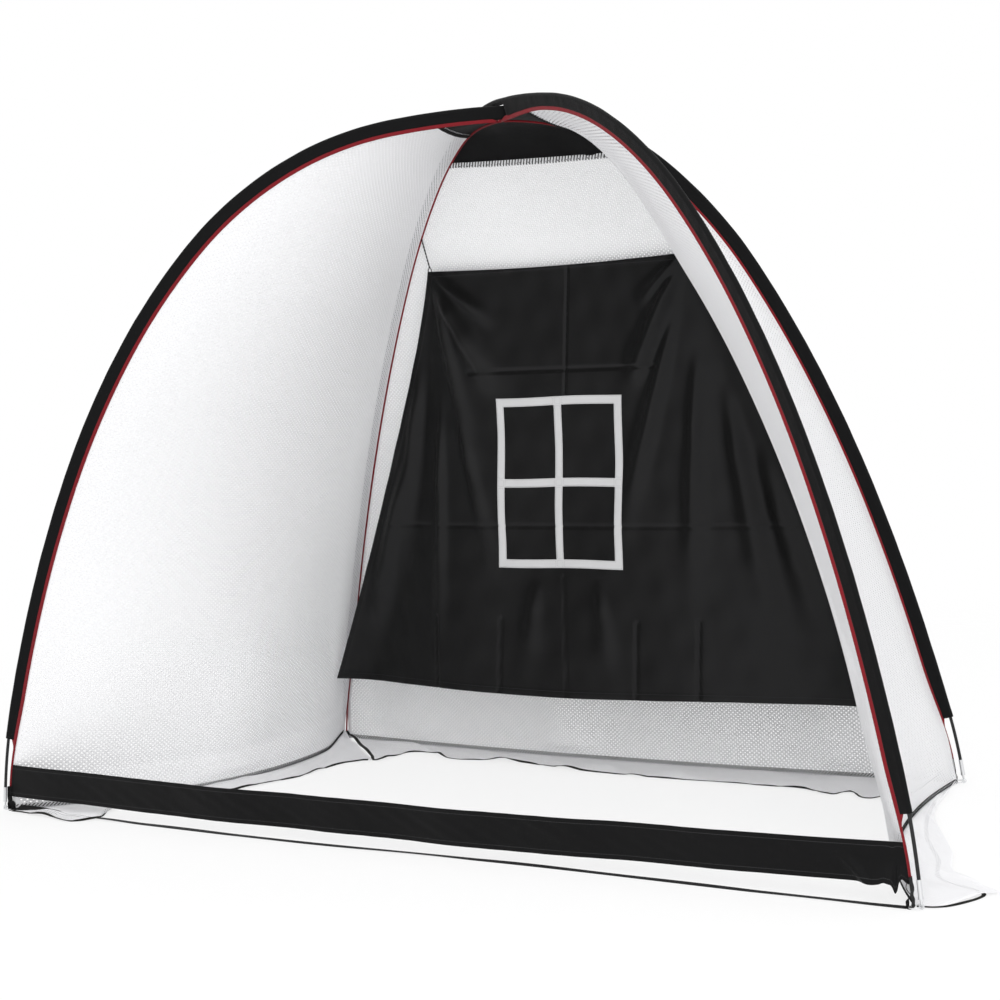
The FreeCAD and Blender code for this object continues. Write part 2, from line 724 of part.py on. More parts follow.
def target_pieces():
    """Target sheet with two holes, the strike zone frame on it and the two ties."""
    sheet = Part.makeLoft([sheet_section(share) for share in spread(0.0, 1.0, SHEET_LEVELS)], True, False)
    holes = {
        "left": V(SHEET_TOP_LEFT + HOLE_INSET, SHEET_BACK, SHEET_TOP - HOLE_DEPTH),
        "right": V(SHEET_TOP_RIGHT - HOLE_INSET, SHEET_BACK, SHEET_TOP - HOLE_DEPTH),
    }
    through = V(0, DRILL_REACH, 0)
    depth = 2 * DRILL_REACH
    drills = [Part.makeCylinder(HOLE_RADIUS, depth, hole - through, through) for hole in holes.values()]
    nodes["target_sheet"] = single(sheet.cut(drills))

    drop = SHEET_TOP - SHEET_BOTTOM
    down = unit(V(0, -SHEET_BULGE / 2, -drop))
    share = (SHEET_TOP - ZONE_MIDDLE) / drop
    middle = V(ZONE_SHIFT, SHEET_BACK - SHEET_BULGE / 2 * share - SHEET_THICKNESS / 2, ZONE_MIDDLE)
    right = V(1, 0, 0)

    def frame_part(left, low, width, height):
        corners = [(left, low), (left + width, low), (left + width, low + height), (left, low + height)]
        return Part.Face(polygon([middle + right * across - down * rise for across, rise in corners]))

    frame = frame_part(-ZONE_WIDTH / 2, -ZONE_HEIGHT / 2, ZONE_WIDTH, ZONE_HEIGHT)
    wide = (ZONE_WIDTH - 3 * ZONE_TAPE) / 2
    high = (ZONE_HEIGHT - 3 * ZONE_TAPE) / 2
    for left in (-ZONE_TAPE / 2 - wide, ZONE_TAPE / 2):
        for low in (-ZONE_TAPE / 2 - high, ZONE_TAPE / 2):
            frame = frame.cut(frame_part(left, low, wide, high))
    nodes["strike_zone_frame"] = frame.Faces[0].extrude(down.cross(right) * ZONE_TAPE_THICKNESS)

    seat = HOLE_RADIUS - TIE_RADIUS - CLEAR
    for side, knot in KNOTS.items():
        loop = holes[side] + UP * (seat + TIE_LOOP)
        ring = Part.makeTorus(TIE_LOOP, TIE_RADIUS, loop, V(1, 0, 0))
        top = loop + UP * TIE_LOOP
        cord = Part.makeCylinder(TIE_RADIUS, (knot - top).Length, top, knot - top)
        nodes[f"target_tie_{side}"] = single(ring.fuse([cord, Part.makeSphere(TIE_KNOT, knot)]))


def band_piece():
    """The low black band across the front, sewn to both front pipings."""
    left, right = CORNERS["front_left"], CORNERS["front_right"]
    sections = []
    for share in spread(0.0, 1.0, BAND_STATIONS):
        low = BAND_LEFT_LOW + (BAND_RIGHT_LOW - BAND_LEFT_LOW) * share - BAND_DIP * 4 * share * (1 - share)
        marks = []
        for height in (low, low + BAND_HEIGHT):
            start = left.piping_at(height) + left.inward * NET_GAP
            end = right.piping_at(height) + right.inward * NET_GAP
            mark = start + (end - start) * share
            wave = BAND_WAVE * math.sin(math.pi * share) * math.sin(2 * math.pi * BAND_WAVES * share)
            marks.append(V(mark.x, mark.y + wave, height))
        shift = V(0, BAND_THICKNESS / 2, 0)
        sections.append(polygon([marks[0] - shift, marks[0] + shift, marks[1] + shift, marks[1] - shift]))
    nodes["front_band"] = Part.makeLoft(sections, True, False)


def strap_piece(eyes):
    """Webbing on the ground between the two front webbing loops."""
    left, right = CORNERS["front_left"], CORNERS["front_right"]
    start = left.place(eyes["front_left"], LOOP_END, 0, 0)
    end = right.place(eyes["front_right"], LOOP_END, 0, 0)
    half = WEBBING_WIDTH / 2
    sections = []
    for share in spread(0.0, 1.0, STRAP_STATIONS):
        wander = STRAP_WANDER * math.sin(math.pi * share) * math.cos(3 * math.pi * share)
        middle = start + (end - start) * share + V(0, wander, 0)
        across = unit(left.sideways * (1 - share) - right.sideways * share)
        base = STRAP_LIFT * (1 - smooth((share - STRAP_LIFT_END) / STRAP_FALL))
        low = V(middle.x, middle.y, base)
        high = low + UP * WEBBING_THICKNESS
        aside = across * half
        sections.append(polygon([low - aside, low + aside, high + aside, high - aside]))
    nodes["ground_strap"] = Part.makeLoft(sections, True, True)


def seam(first, second, sag, shift):
    """The arc on the ground under a panel's foot, moved outward by a shift."""
    start, end, normal = foot_points(first, second, 0)
    chord = unit(end - start)
    first_point = start + chord * NET_FOOT_GAP
    last_point = end - chord * NET_FOOT_GAP
    middle = (first_point + last_point) / 2 + normal * sag
    return [point - normal * shift for point in (first_point, middle, last_point)]


def moved_line(points, distance):
    """Points of a line moved to its left by a distance."""
    places = [V(across, along, 0) for across, along in points]
    found = []
    for index, place in enumerate(places):
        before = places[max(index - 1, 0)]
        after = places[min(index + 1, len(places) - 1)]
        found.append(place + UP.cross(unit(after - before)) * distance)
    return found


def flat_piece(name, edges, thickness, base):
    """A flat piece of cloth inside a chain of edges."""
    face = Part.Face(Part.Wire(edges))
    face.translate(UP * base)
    nodes[name] = face.extrude(UP * thickness)


def line(start, end):
    """A straight edge."""
    return Part.LineSegment(start, end).toShape()


def hem(name, points, side):
    """A bound strip along a skirt's edge, to the left (1) or right (-1) of its outline."""
    outer = moved_line(points, 0)
    inner = moved_line(points, side * HEM_WIDTH)
    edges = [spline(outer), line(outer[-1], inner[-1]), spline(inner), line(inner[0], outer[0])]
    flat_piece(name, edges, HEM_THICKNESS, 0)


def skirt_pieces():
    """Skirts on the ground along the three walls and their hems."""
    front_left, front_right = CORNERS["front_left"], CORNERS["front_right"]
    rear_left, rear_right = CORNERS["rear_left"], CORNERS["rear_right"]
    reach = HEM_WIDTH + CLEAR

    hem("hem_left", LEFT_HEM, 1)
    edge = moved_line(LEFT_HEM, reach)
    start, middle, end = seam(front_left, rear_left, LEFT_FOOT_SAG, SKIRT_UNDER_NET)
    foot = front_left.pole.front
    cut = front_left.place(foot, LOOP_END + SKIRT_CORNER, WEBBING_WIDTH / 2 + SKIRT_CORNER, 0)
    flat_piece("skirt_left", [
        Part.Arc(start, middle, end).toShape(), line(end, edge[-1]), spline(edge), line(edge[0], cut),
        line(cut, start),
    ], SKIRT_THICKNESS, 0)

    hem("hem_back", BACK_HEM, 1)
    edge = moved_line(BACK_HEM, reach)
    start, middle, end = seam(rear_left, rear_right, BACK_FOOT_SAG, SKIRT_UNDER_NET)
    flat_piece("skirt_back", [
        Part.Arc(start, middle, end).toShape(), line(end, edge[-1]), spline(edge), line(edge[0], start),
    ], SKIRT_THICKNESS, 0)

    hem("hem_right", RIGHT_HEM, 1)
    edge = moved_line(RIGHT_SKIRT_EDGE, 0)
    start, middle, end = seam(front_right, rear_right, RIGHT_FOOT_SAG, -SKIRT_UNDER_NET)
    flat_piece("skirt_right", [
        Part.Arc(start, middle, end).toShape(), line(end, edge[-1]), spline(edge), line(edge[0], start),
    ], SKIRT_THICKNESS, RIGHT_SKIRT_BASE)


def centre_part(marks):
    """Move every piece so that the origin is under the middle of the whole net, and print the marks."""
    box = Part.makeCompound(list(nodes.values())).optimalBoundingBox(True)
    shift = V(-(box.XMin + box.XMax) / 2, -(box.YMin + box.YMax) / 2, -box.ZMin)
    for shape in nodes.values():
        shape.translate(shift)
    print("moved by", shift)
    print("size", box.XLength, box.YLength, box.ZLength)
    for name, mark in marks.items():
        print(name, mark + shift)
    for name, corner in CORNERS.items():
        print("inward", name, corner.inward)


pole_pieces()
sleeve_pieces()
piping_pieces()
panel_pieces()
eye_centres = corner_pieces()
target_pieces()
band_piece()
strap_piece(eye_centres)
skirt_pieces()
marks = {f"eye {name}": eye for name, eye in eye_centres.items()}
marks.update({f"knot {name}": knot for name, knot in KNOTS.items()})
centre_part(marks)

for name, shape in nodes.items():
    if not shape.isValid() or len(shape.Solids) != 1:
        print("look at", name, shape.isValid(), len(shape.Solids), shape.Volume)
    shape.exportStep(f"parts/{name}.step")
print(len(nodes), "pieces")
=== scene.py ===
import math
from collections import namedtuple

import bmesh
import bpy
import numpy as np
from mathutils import Matrix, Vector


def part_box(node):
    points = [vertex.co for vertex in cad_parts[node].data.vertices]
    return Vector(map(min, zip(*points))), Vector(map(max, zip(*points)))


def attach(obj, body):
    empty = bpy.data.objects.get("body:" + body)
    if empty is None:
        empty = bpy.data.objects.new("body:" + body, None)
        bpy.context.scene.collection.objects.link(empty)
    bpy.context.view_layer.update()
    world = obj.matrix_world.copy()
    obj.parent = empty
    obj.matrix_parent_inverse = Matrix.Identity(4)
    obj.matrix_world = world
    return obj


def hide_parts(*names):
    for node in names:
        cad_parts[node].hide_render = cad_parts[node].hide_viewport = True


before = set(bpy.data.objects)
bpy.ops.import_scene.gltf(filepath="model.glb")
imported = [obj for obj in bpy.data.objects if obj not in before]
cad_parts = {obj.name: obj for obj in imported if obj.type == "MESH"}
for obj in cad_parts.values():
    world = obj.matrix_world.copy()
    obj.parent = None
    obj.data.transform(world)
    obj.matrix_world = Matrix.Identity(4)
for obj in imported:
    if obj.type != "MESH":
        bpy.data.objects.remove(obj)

bl_info = {
    "name": "Pitching target net",
    "version": (1, 0, 0),
    "blender": (4, 5, 0),
    "location": "3D View > Sidebar > Pitching Net",
    "description": "Cloth, piping, netting and finishes of a pop-up pitching net with a hanging target",
    "category": "Object",
}

# Lengths are in metres. Places are measured from the middle of the line between the front feet, and MOVE
# takes them to the frame.
MOVE = np.array((-0.05678822, -0.610154086, 0.0))
UP = np.array((0.0, 0.0, 1.0))

# Poles
FRONT_SPAN = 3.050
REAR_SPAN = 2.320
DEPTH = 1.300
APEX_BACK = 0.735
APEX_HEIGHT = 2.085
APEX_PLAN = np.array((0.0, APEX_BACK, 0.0))
MIDDLE = np.array((0.0, APEX_BACK, APEX_HEIGHT / 2))
FRONT_ROUND = (2.625, 0.732)  # power and root of the arches' heights
REAR_ROUND = (2.277, 0.849)
FRONT_SWAY = 0.058  # how far the front halves swing out sideways

# Sleeves and piping
SLEEVE_RADIUS = 0.0084
TUNNEL_RADIUS = 0.0070
FRONT_SLEEVE_END = 0.230  # from the foot, along the pole
REAR_SLEEVE_END = 0.204
CROSSING_FLAP = 0.012  # what is left of the upper sleeve's flap over the lower pole
CROSSING_LIFT = SLEEVE_RADIUS + CROSSING_FLAP + 0.0003
FLAP_TURN = 25.8  # degrees that the front flaps turn towards the middle at the ground
PIPING_INSET = 0.036  # from the pole's middle
PIPING_FOOT_INSET = 0.020
PIPING_RADIUS = 0.0024
PIPING_FOOT = 0.078  # where the piping ends above a foot
REAR_LEFT_PIPING_FOOT = 0.026
TAPER = 0.300  # length over which the inset changes

# Walls
COLUMNS = 150  # points across
LEVELS = 120  # level arcs from the patch down to NET_FOOT above the feet
FOOT_LEVELS = 14  # rows from there to the ground
NET_FOOT = 0.140
FOOT_GAP = 0.011  # between a wall's foot and the piping's middle
FOOT_HEIGHT = 0.0012
SKIRT_BASE = 0.0019  # the right wall stands on its skirt

# Target sheet
SHEET_Y = 1.0318
SHEET_TOP = 1.628
SHEET_DROP = 1.368
SHEET_MIDDLE = -0.022
SHEET_HEM = 0.022
EYELET_HEIGHT = 1.620
TIES = {  # where each tie's eyelet is across the sheet, and its knot in the frame
    "left": (-0.488, (-0.5695029, 0.4214498, 1.7324508)),
    "right": (0.428, (0.4572027, 0.4218920, 1.7135118)),
}
TIE_LOOP_LIFT = 0.0112  # the loop's middle over the eyelet
TIE_LOOP_RADIUS = 0.009
TIE_STRAND_RADIUS = 0.0013

# Band, straps and hems
BAND_LENGTH = 2.96
BAND_WIDTH = 0.1
BAND_EDGES = (0.044, 0.144)  # heights at the left end
BAND_RISE = 0.014  # the right end is higher
BAND_BOW = 0.016  # the middle hangs down
RING_RADIUS = 0.016
RING_DROP = 0.0070 - 0.0015 - 0.0015 - 0.0003  # the eye's radius less webbing, wire and clearance
STRAP_START = 0.036  # how deep inside the front feet the ground strap starts
WEBBING = (0.020, 0.0014)  # width and thickness
BINDING = (0.011, 0.0020)
SKIRT_HEIGHT = 0.0013

# Threads, and the painted highlight and painted shade on the target sheet's folds
BLACK_THREAD = (0.01, 0.01, 0.01)
HEM_THREAD = (0.03, 0.03, 0.032)
BAND_THREAD = (0.05, 0.05, 0.052)
TAPE_THREAD = (0.42, 0.42, 0.43)
# Colours of the painted highlight and painted shade that follow the slope of the sheet's folds
SLOPE_HIGHLIGHT = (0.0190, 0.0190, 0.0195)
SLOPE_SHADE = (0.0006, 0.0006, 0.0006)

# Outlines of the skirts on the ground, as (x, y)
LEFT_HEM = [
    (-1.478, -0.014), (-1.380, -0.026), (-1.289, -0.036), (-1.190, -0.052), (-1.140, -0.012), (-1.218, 0.173),
    (-1.060, 0.360), (-0.976, 0.477), (-0.932, 0.600), (-0.896, 0.705), (-0.892, 0.848), (-0.871, 0.945),
    (-0.802, 0.984),
]
BACK_HEM = [
    (-0.788, 0.986), (-0.774, 1.060), (-0.760, 1.146), (-0.697, 1.164), (-0.573, 1.102), (-0.383, 1.130),
    (-0.045, 1.080), (0.193, 1.067), (0.559, 1.072), (0.740, 1.069), (0.850, 1.034), (0.880, 1.076),
    (0.959, 1.016), (1.030, 1.045), (1.062, 1.120),
]
RIGHT_EDGE = [
    (1.506, 0.020), (1.540, 0.024), (1.604, 0.104), (1.630, 0.176), (1.645, 0.190), (1.583, 0.247),
    (1.500, 0.314), (1.409, 0.521), (1.320, 0.690), (1.233, 0.864), (1.190, 1.000), (1.166, 1.150),
]
RIGHT_HEM = [
    (1.506, 0.020), (1.540, 0.024), (1.604, 0.104), (1.617, 0.172), (1.560, 0.214), (1.490, 0.250),
    (1.400, 0.440), (1.290, 0.650), (1.215, 0.850), (1.165, 1.040),
]


def unit(vectors):
    """Vectors at length 1."""
    vectors = np.asarray(vectors, float)
    return vectors / np.maximum(np.linalg.norm(vectors, axis=-1, keepdims=True), 1e-12)


def smooth(value):
    """A step from 0 to 1 with level ends, 3 s^2 - 2 s^3."""
    share = np.clip(value, 0.0, 1.0)
    return share * share * (3 - 2 * share)


def ripple(across, along, size, seed):
    """Soft uneven waves from about -1 to 1: the sum of five sines that run in turned directions, each
    with its own wavelength near the size."""
    total = 0.0
    for step in range(1, 6):
        turn = seed * 1.7 + step * 2.399963
        reach = size * (0.62 + 0.19 * step)
        way = across * math.cos(turn) + along * math.sin(turn)
        total = total + np.sin(2 * math.pi * way / reach + seed * step * 1.3)
    return total / 3


def mixed(first, second, share):
    """Points between two lines, share 0 on the first and 1 on the second."""
    return first + (second - first) * share


def runs_along(points):
    """Length from the first point of a line to each of its points."""
    return np.concatenate([[0], np.cumsum(np.linalg.norm(np.diff(points, axis=0), axis=1))])


def between(places, marks, values):
    """Points or directions at places between marked ones."""
    return np.stack([np.interp(places, marks, values[:, axis]) for axis in range(3)], axis=-1)


def laid_out(across, along):
    """Cloth coordinates from places across and along it."""
    return np.stack(np.broadcast_arrays(across, along), axis=-1)


def polar(radius, turns):
    """Points at a distance from a middle, turned by angles."""
    return np.stack([radius * np.cos(turns), radius * np.sin(turns)], axis=-1)


def trefoil(turns, depth):
    """A loop with a knot in it: (sin t + 2 sin 2t, cos t - 2 cos 2t, -depth sin 3t)."""
    across = np.sin(turns) + 2 * np.sin(2 * turns)
    return np.stack([across, np.cos(turns) - 2 * np.cos(2 * turns), -np.sin(3 * turns) * depth], axis=1)


def facing(normals, points, target):
    """Normals, turned round where they point away from a target."""
    return np.where((normals * (target - points)).sum(axis=-1, keepdims=True) > 0, normals, -normals)


def resampled(points, count):
    """Evenly spaced points along a smooth line through the given points: a cubic with the neighbours'
    slopes on each stretch."""
    points = np.asarray(points, float)
    marks = runs_along(points)
    slopes = np.gradient(points, marks, axis=0)
    fine = np.linspace(0, marks[-1], 40 * len(points))
    index = np.clip(np.searchsorted(marks, fine) - 1, 0, len(points) - 2)
    width = (marks[index + 1] - marks[index])[:, None]
    share = (fine[:, None] - marks[index][:, None]) / width
    line = (
        (2 * share**3 - 3 * share**2 + 1) * points[index]
        + (share**3 - 2 * share**2 + share) * width * slopes[index]
        + (3 * share**2 - 2 * share**3) * points[index + 1]
        + (share**3 - share**2) * width * slopes[index + 1]
    )
    runs = runs_along(line)
    return between(np.linspace(0, runs[-1], count), runs, line)


class Arch:
    """One bent pole from a front foot over the apex to the far rear foot.

    side is 1 when it starts at the left front foot and -1 at the right front foot.
    """

    def __init__(self, side, height):
        self.side, self.height = side, height
        self.front = np.array((-side * FRONT_SPAN / 2, 0, 0))
        self.rear = np.array((side * REAR_SPAN / 2, DEPTH, 0))
        marks = np.cos(np.arange(5) * math.pi / 8)
        shares = np.concatenate([-marks[:4], [0.0], marks[:4][::-1]])
        parts = [self.arcs(first, second) for first, second in zip(shares, shares[1:])]
        line = np.concatenate(parts)
        steps = np.linalg.norm(np.diff(line, axis=0), axis=1)
        keep = np.concatenate([[True], steps > 1e-9])
        self.line = line[keep]
        self.runs = runs_along(self.line)
        self.length = self.runs[-1]
        first_half = sum(len(part) for part in parts[:4])
        self.apex = self.runs[int(keep[:first_half].sum()) - 1]
        self.ways = unit(np.gradient(self.line, self.runs, axis=0))
        self.across = unit(np.cross(UP, unit(self.rear - self.front)))

    def formula(self, position):
        """Position -1 is the front foot, 0 the apex and 1 the rear foot. Height is
        height * (1 - share^power)^root, and each half sways out sideways like half a sine wave."""
        position = np.atleast_1d(position)[:, None]
        share = np.abs(position)
        forward = position < 0
        front, rear = self.front - APEX_PLAN, self.rear - APEX_PLAN
        span = np.where(forward, front, rear)
        power = np.where(forward, FRONT_ROUND[0], REAR_ROUND[0])
        root = np.where(forward, FRONT_ROUND[1], REAR_ROUND[1])
        sway = FRONT_SWAY * np.linalg.norm(span, axis=1, keepdims=True) / np.linalg.norm(front)
        outward = unit(np.cross(UP, span))
        outward = np.where((outward[:, 1:2] > 0) == forward, -outward, outward)
        plan = APEX_PLAN + span * share + outward * sway * np.sin(math.pi * share)
        return plan + UP * self.height * np.maximum(1 - share**power, 0) ** root

    def arcs(self, first, second):
        """Two arcs that meet smoothly, as points: (b (1-t)^2 + 2 w c t (1-t) + e t^2) over its weights,
        with w the cosine of half the arc's turn."""
        start, end = self.formula(first)[0], self.formula(second)[0]
        headings = []
        for place in (first, second):
            low, high = max(place - 0.001, -1.0), min(place + 0.001, 1.0)
            headings.append(unit(self.formula(high) - self.formula(low))[0])
        way_in, way_out = headings
        chord = end - start
        middle = chord @ (way_in + way_out)
        root = math.sqrt(middle**2 - (2 * way_in @ way_out - 2) * (chord @ chord))
        leg = (chord @ chord) / (middle + root)
        corners = start + way_in * leg, end - way_out * leg
        joint = (corners[0] + corners[1]) / 2
        found = []
        for begin, corner, finish in ((start, corners[0], joint), (joint, corners[1], end)):
            turn = math.acos(min(unit(corner - begin) @ unit(finish - corner), 1.0))
            weight = math.cos(turn / 2)
            share = np.linspace(0, 1, 120)[:, None]
            shares = (1 - share) ** 2, 2 * weight * share * (1 - share), share**2
            total = begin * shares[0] + corner * shares[1] + finish * shares[2]
            found.append(total / (shares[0] + shares[1] + shares[2]))
        return np.concatenate(found)

    def at(self, run):
        """Points at lengths along the pole."""
        return between(run, self.runs, self.line)

    def way(self, run):
        """Directions at lengths along the pole."""
        return unit(between(run, self.runs, self.ways))

    def inward(self, run):
        """The way the sleeve's flap points: into the arch, turned towards the middle at the front."""
        way = self.way(run)
        flat = unit(np.cross(self.across, way))
        height = self.at(run)[..., 2]
        angle = np.radians(-self.side * FLAP_TURN * (1 - height / self.height))
        angle = np.where(run > self.apex, 0.0, angle)[..., None]
        return flat * np.cos(angle) + np.cross(way, flat) * np.sin(angle)

    def inset(self, run):
        """How far inside the pole's middle the piping runs."""
        end = np.minimum(run, self.length - run)
        base = PIPING_FOOT_INSET + (PIPING_INSET - PIPING_FOOT_INSET) * smooth((end - PIPING_FOOT) / TAPER)
        lift = self.height - APEX_HEIGHT
        return base + lift * (1 - smooth(np.abs(run - self.apex) / TAPER))

    def flap(self, run):
        """How far the sleeve's flap reaches: the upper pole's is cut away over the lower pole."""
        full = self.inset(run) - PIPING_RADIUS
        if self.side > 0:
            return full
        share = np.clip((np.abs(run - self.apex) - 0.030) / 0.020, 0, 1)
        return CROSSING_FLAP + (full - CROSSING_FLAP) * share

    def piping(self, run):
        """Middle of the piping beside the pole."""
        return self.at(run) + self.inward(run) * self.inset(run)[..., None]


class Corner:
    """One foot of the net: its pole, which end it is and the level directions there."""

    def __init__(self, pole, front, piping_foot=PIPING_FOOT):
        self.pole, self.front, self.piping_foot = pole, front, piping_foot
        flap = pole.inward(np.array([self.from_foot(PIPING_FOOT)]))[0]
        self.inward = unit(np.array((flap[0], flap[1], 0)))
        self.sideways = np.cross(UP, self.inward)

    def from_foot(self, distance):
        """Length along the pole at a distance from this foot."""
        return distance if self.front else self.pole.length - distance

    def from_apex(self, distance):
        """Length along the pole at a distance from the apex on this foot's side."""
        return self.pole.apex - distance if self.front else self.pole.apex + distance

    def reach(self):
        """Length from the apex to this foot."""
        return self.pole.apex if self.front else self.pole.length - self.pole.apex

    def piping_at(self, height):
        """Middle of the piping at a small height above the ground."""
        run = height
        for _ in range(3):
            run = run + height - self.pole.piping(np.array([self.from_foot(run)]))[0, 2]
        return self.pole.piping(np.array([self.from_foot(run)]))[0]

    def place(self, origin, deep, wide, high):
        """A point from an origin in this corner's directions."""
        return origin + self.inward * deep + self.sideways * wide + UP * high


LOW_ARCH = Arch(1, APEX_HEIGHT)
HIGH_ARCH = Arch(-1, APEX_HEIGHT + CROSSING_LIFT)
ARCHES = {"a": LOW_ARCH, "b": HIGH_ARCH}
CORNERS = {
    "front_left": Corner(LOW_ARCH, True),
    "front_right": Corner(HIGH_ARCH, True),
    "rear_left": Corner(HIGH_ARCH, False, REAR_LEFT_PIPING_FOOT),
    "rear_right": Corner(LOW_ARCH, False),
}


# Meshes


def surface(name, grid, flat, around=False, caps=False, seam=None):
    """A mesh on a grid of points. flat holds the cloth's own coordinates in metres. around closes each row
    into a ring, caps closes the first and last ring, and seam is each point's distance to a seam."""
    rows, columns = grid.shape[:2]
    down, across = np.meshgrid(
        np.arange(rows - 1), np.arange(columns - (0 if around else 1)), indexing="ij"
    )
    steps = ((0, 0), (0, 1), (1, 1), (1, 0))
    faces = np.stack([(down + i) * columns + (across + j) % columns for i, j in steps], axis=-1)
    marks = np.stack([(down + i) * flat.shape[1] + across + j for i, j in steps], axis=-1)
    faces, marks = faces.reshape(-1, 4), marks.reshape(-1, 4)
    points = (grid + MOVE).reshape(-1, 3)
    ends = []
    if caps:
        ends = [list(range(columns))[::-1], list(range((rows - 1) * columns, rows * columns))]
        a, b, c, d = (points[faces[:, corner]] for corner in range(4))
        middle = points.mean(axis=0)
        volume = (np.cross(b - middle, c - middle) * (a - middle)).sum()
        volume += (np.cross(c - middle, d - middle) * (a - middle)).sum()
        if volume < 0:
            faces, marks, ends = faces[:, ::-1], marks[:, ::-1], [end[::-1] for end in ends]
    uv = flat.reshape(-1, 2)[marks.reshape(-1)]
    if caps:
        uv = np.concatenate([uv, np.repeat(flat[0, :1], columns, 0), np.repeat(flat[-1, :1], columns, 0)])
    mesh = bpy.data.meshes.new(name)
    mesh.from_pydata(points.tolist(), [], faces.tolist() + ends)
    mesh.uv_layers.new(name="Flat").data.foreach_set("uv", uv.astype(np.float32).ravel())
    if seam is not None:
        add_attribute(mesh, "seam", seam)
    mesh.polygons.foreach_set("use_smooth", [True] * len(faces) + [False] * len(ends))
    mesh.update()
    piece = bpy.data.objects.new(name, mesh)
    bpy.context.scene.collection.objects.link(piece)
    return piece


def add_attribute(mesh, name, values):
    """A number at each point that a material reads by name."""
    layer = mesh.attributes.new(name, "FLOAT", "POINT")
    layer.data.foreach_set("value", values.astype(np.float32).ravel())


def frames(path, start):
    """Side and upper directions along a path, carried on without twisting from a start direction."""
    ways = unit(np.gradient(path, axis=0))
    side = unit(np.cross(ways[0], start))
    sides = []
    for way in ways:
        side = unit(side - way * (side @ way))
        sides.append(side)
    sides = np.array(sides)
    return sides, np.cross(sides, ways)


def girth_and_run(profiles, runs):
    """Cloth coordinates of a ringed piece: the length round each ring and the length along the piece."""
    ring = np.concatenate([profiles, profiles[:, :1]], axis=1)
    girth = np.cumsum(np.linalg.norm(np.diff(ring, axis=1), axis=2), axis=1)
    girth = np.concatenate([np.zeros((len(runs), 1)), girth], axis=1)
    return np.stack([girth, np.repeat(runs[:, None], girth.shape[1], 1)], axis=-1)


def ringed(name, path, firsts, seconds, marks, runs):
    """A closed piece round a path, with rings of marks measured in two directions at each point."""
    grid = path[:, None] + firsts[:, None] * marks[..., :1] + seconds[:, None] * marks[..., 1:]
    return surface(name, grid, girth_and_run(marks, runs), around=True, caps=True)


def swept(name, path, profile, start=(0, 0, 1), turn=None):
    """A closed profile of (side, upper) points carried along a path and turned by turn, in degrees."""
    sides, uppers = frames(path, np.asarray(start, float))
    if turn is not None:
        cosine, sine = np.cos(np.radians(turn))[:, None], np.sin(np.radians(turn))[:, None]
        sides, uppers = sides * cosine + uppers * sine, uppers * cosine - sides * sine
    return ringed(name, path, sides, uppers, np.repeat(profile[None], len(path), 0), runs_along(path))


def ring_profile(radius, sides):
    """Points of a circle."""
    return polar(radius, np.arange(sides) * 2 * math.pi / sides)


def band_profile(width, thickness):
    """A flat strip with rounded edges: eight points across and four on each edge."""
    half, thin = width / 2, thickness / 2
    xs = np.linspace(-half + thin, half - thin, 8)
    top = np.stack([xs, np.full(8, thin)], axis=1)
    turns = np.radians([60, 20, -20, -60])
    edge = np.stack([half - thin + thin * np.cos(turns), thin * np.sin(turns)], axis=1)
    return np.concatenate([top, edge, -top, -edge])


def finish(piece, body, material, slot, *nodes):
    """Gives a piece its material, the body it moves with and the solids it stands for; slot is not used."""
    piece.data.materials.clear()
    piece.data.materials.append(material)
    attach(piece, body)
    if nodes:
        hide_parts(*nodes)


def thickened(piece, thickness):
    """Cloth thickness on both sides of the surface."""
    wall = piece.modifiers.new("Cloth thickness", "SOLIDIFY")
    wall.thickness = thickness
    wall.offset = 0.0


def cloth_area(piece):
    """Area of the cloth in square metres."""
    areas = np.empty(len(piece.data.polygons))
    piece.data.polygons.foreach_get("area", areas)
    return float(areas.sum())


# Materials


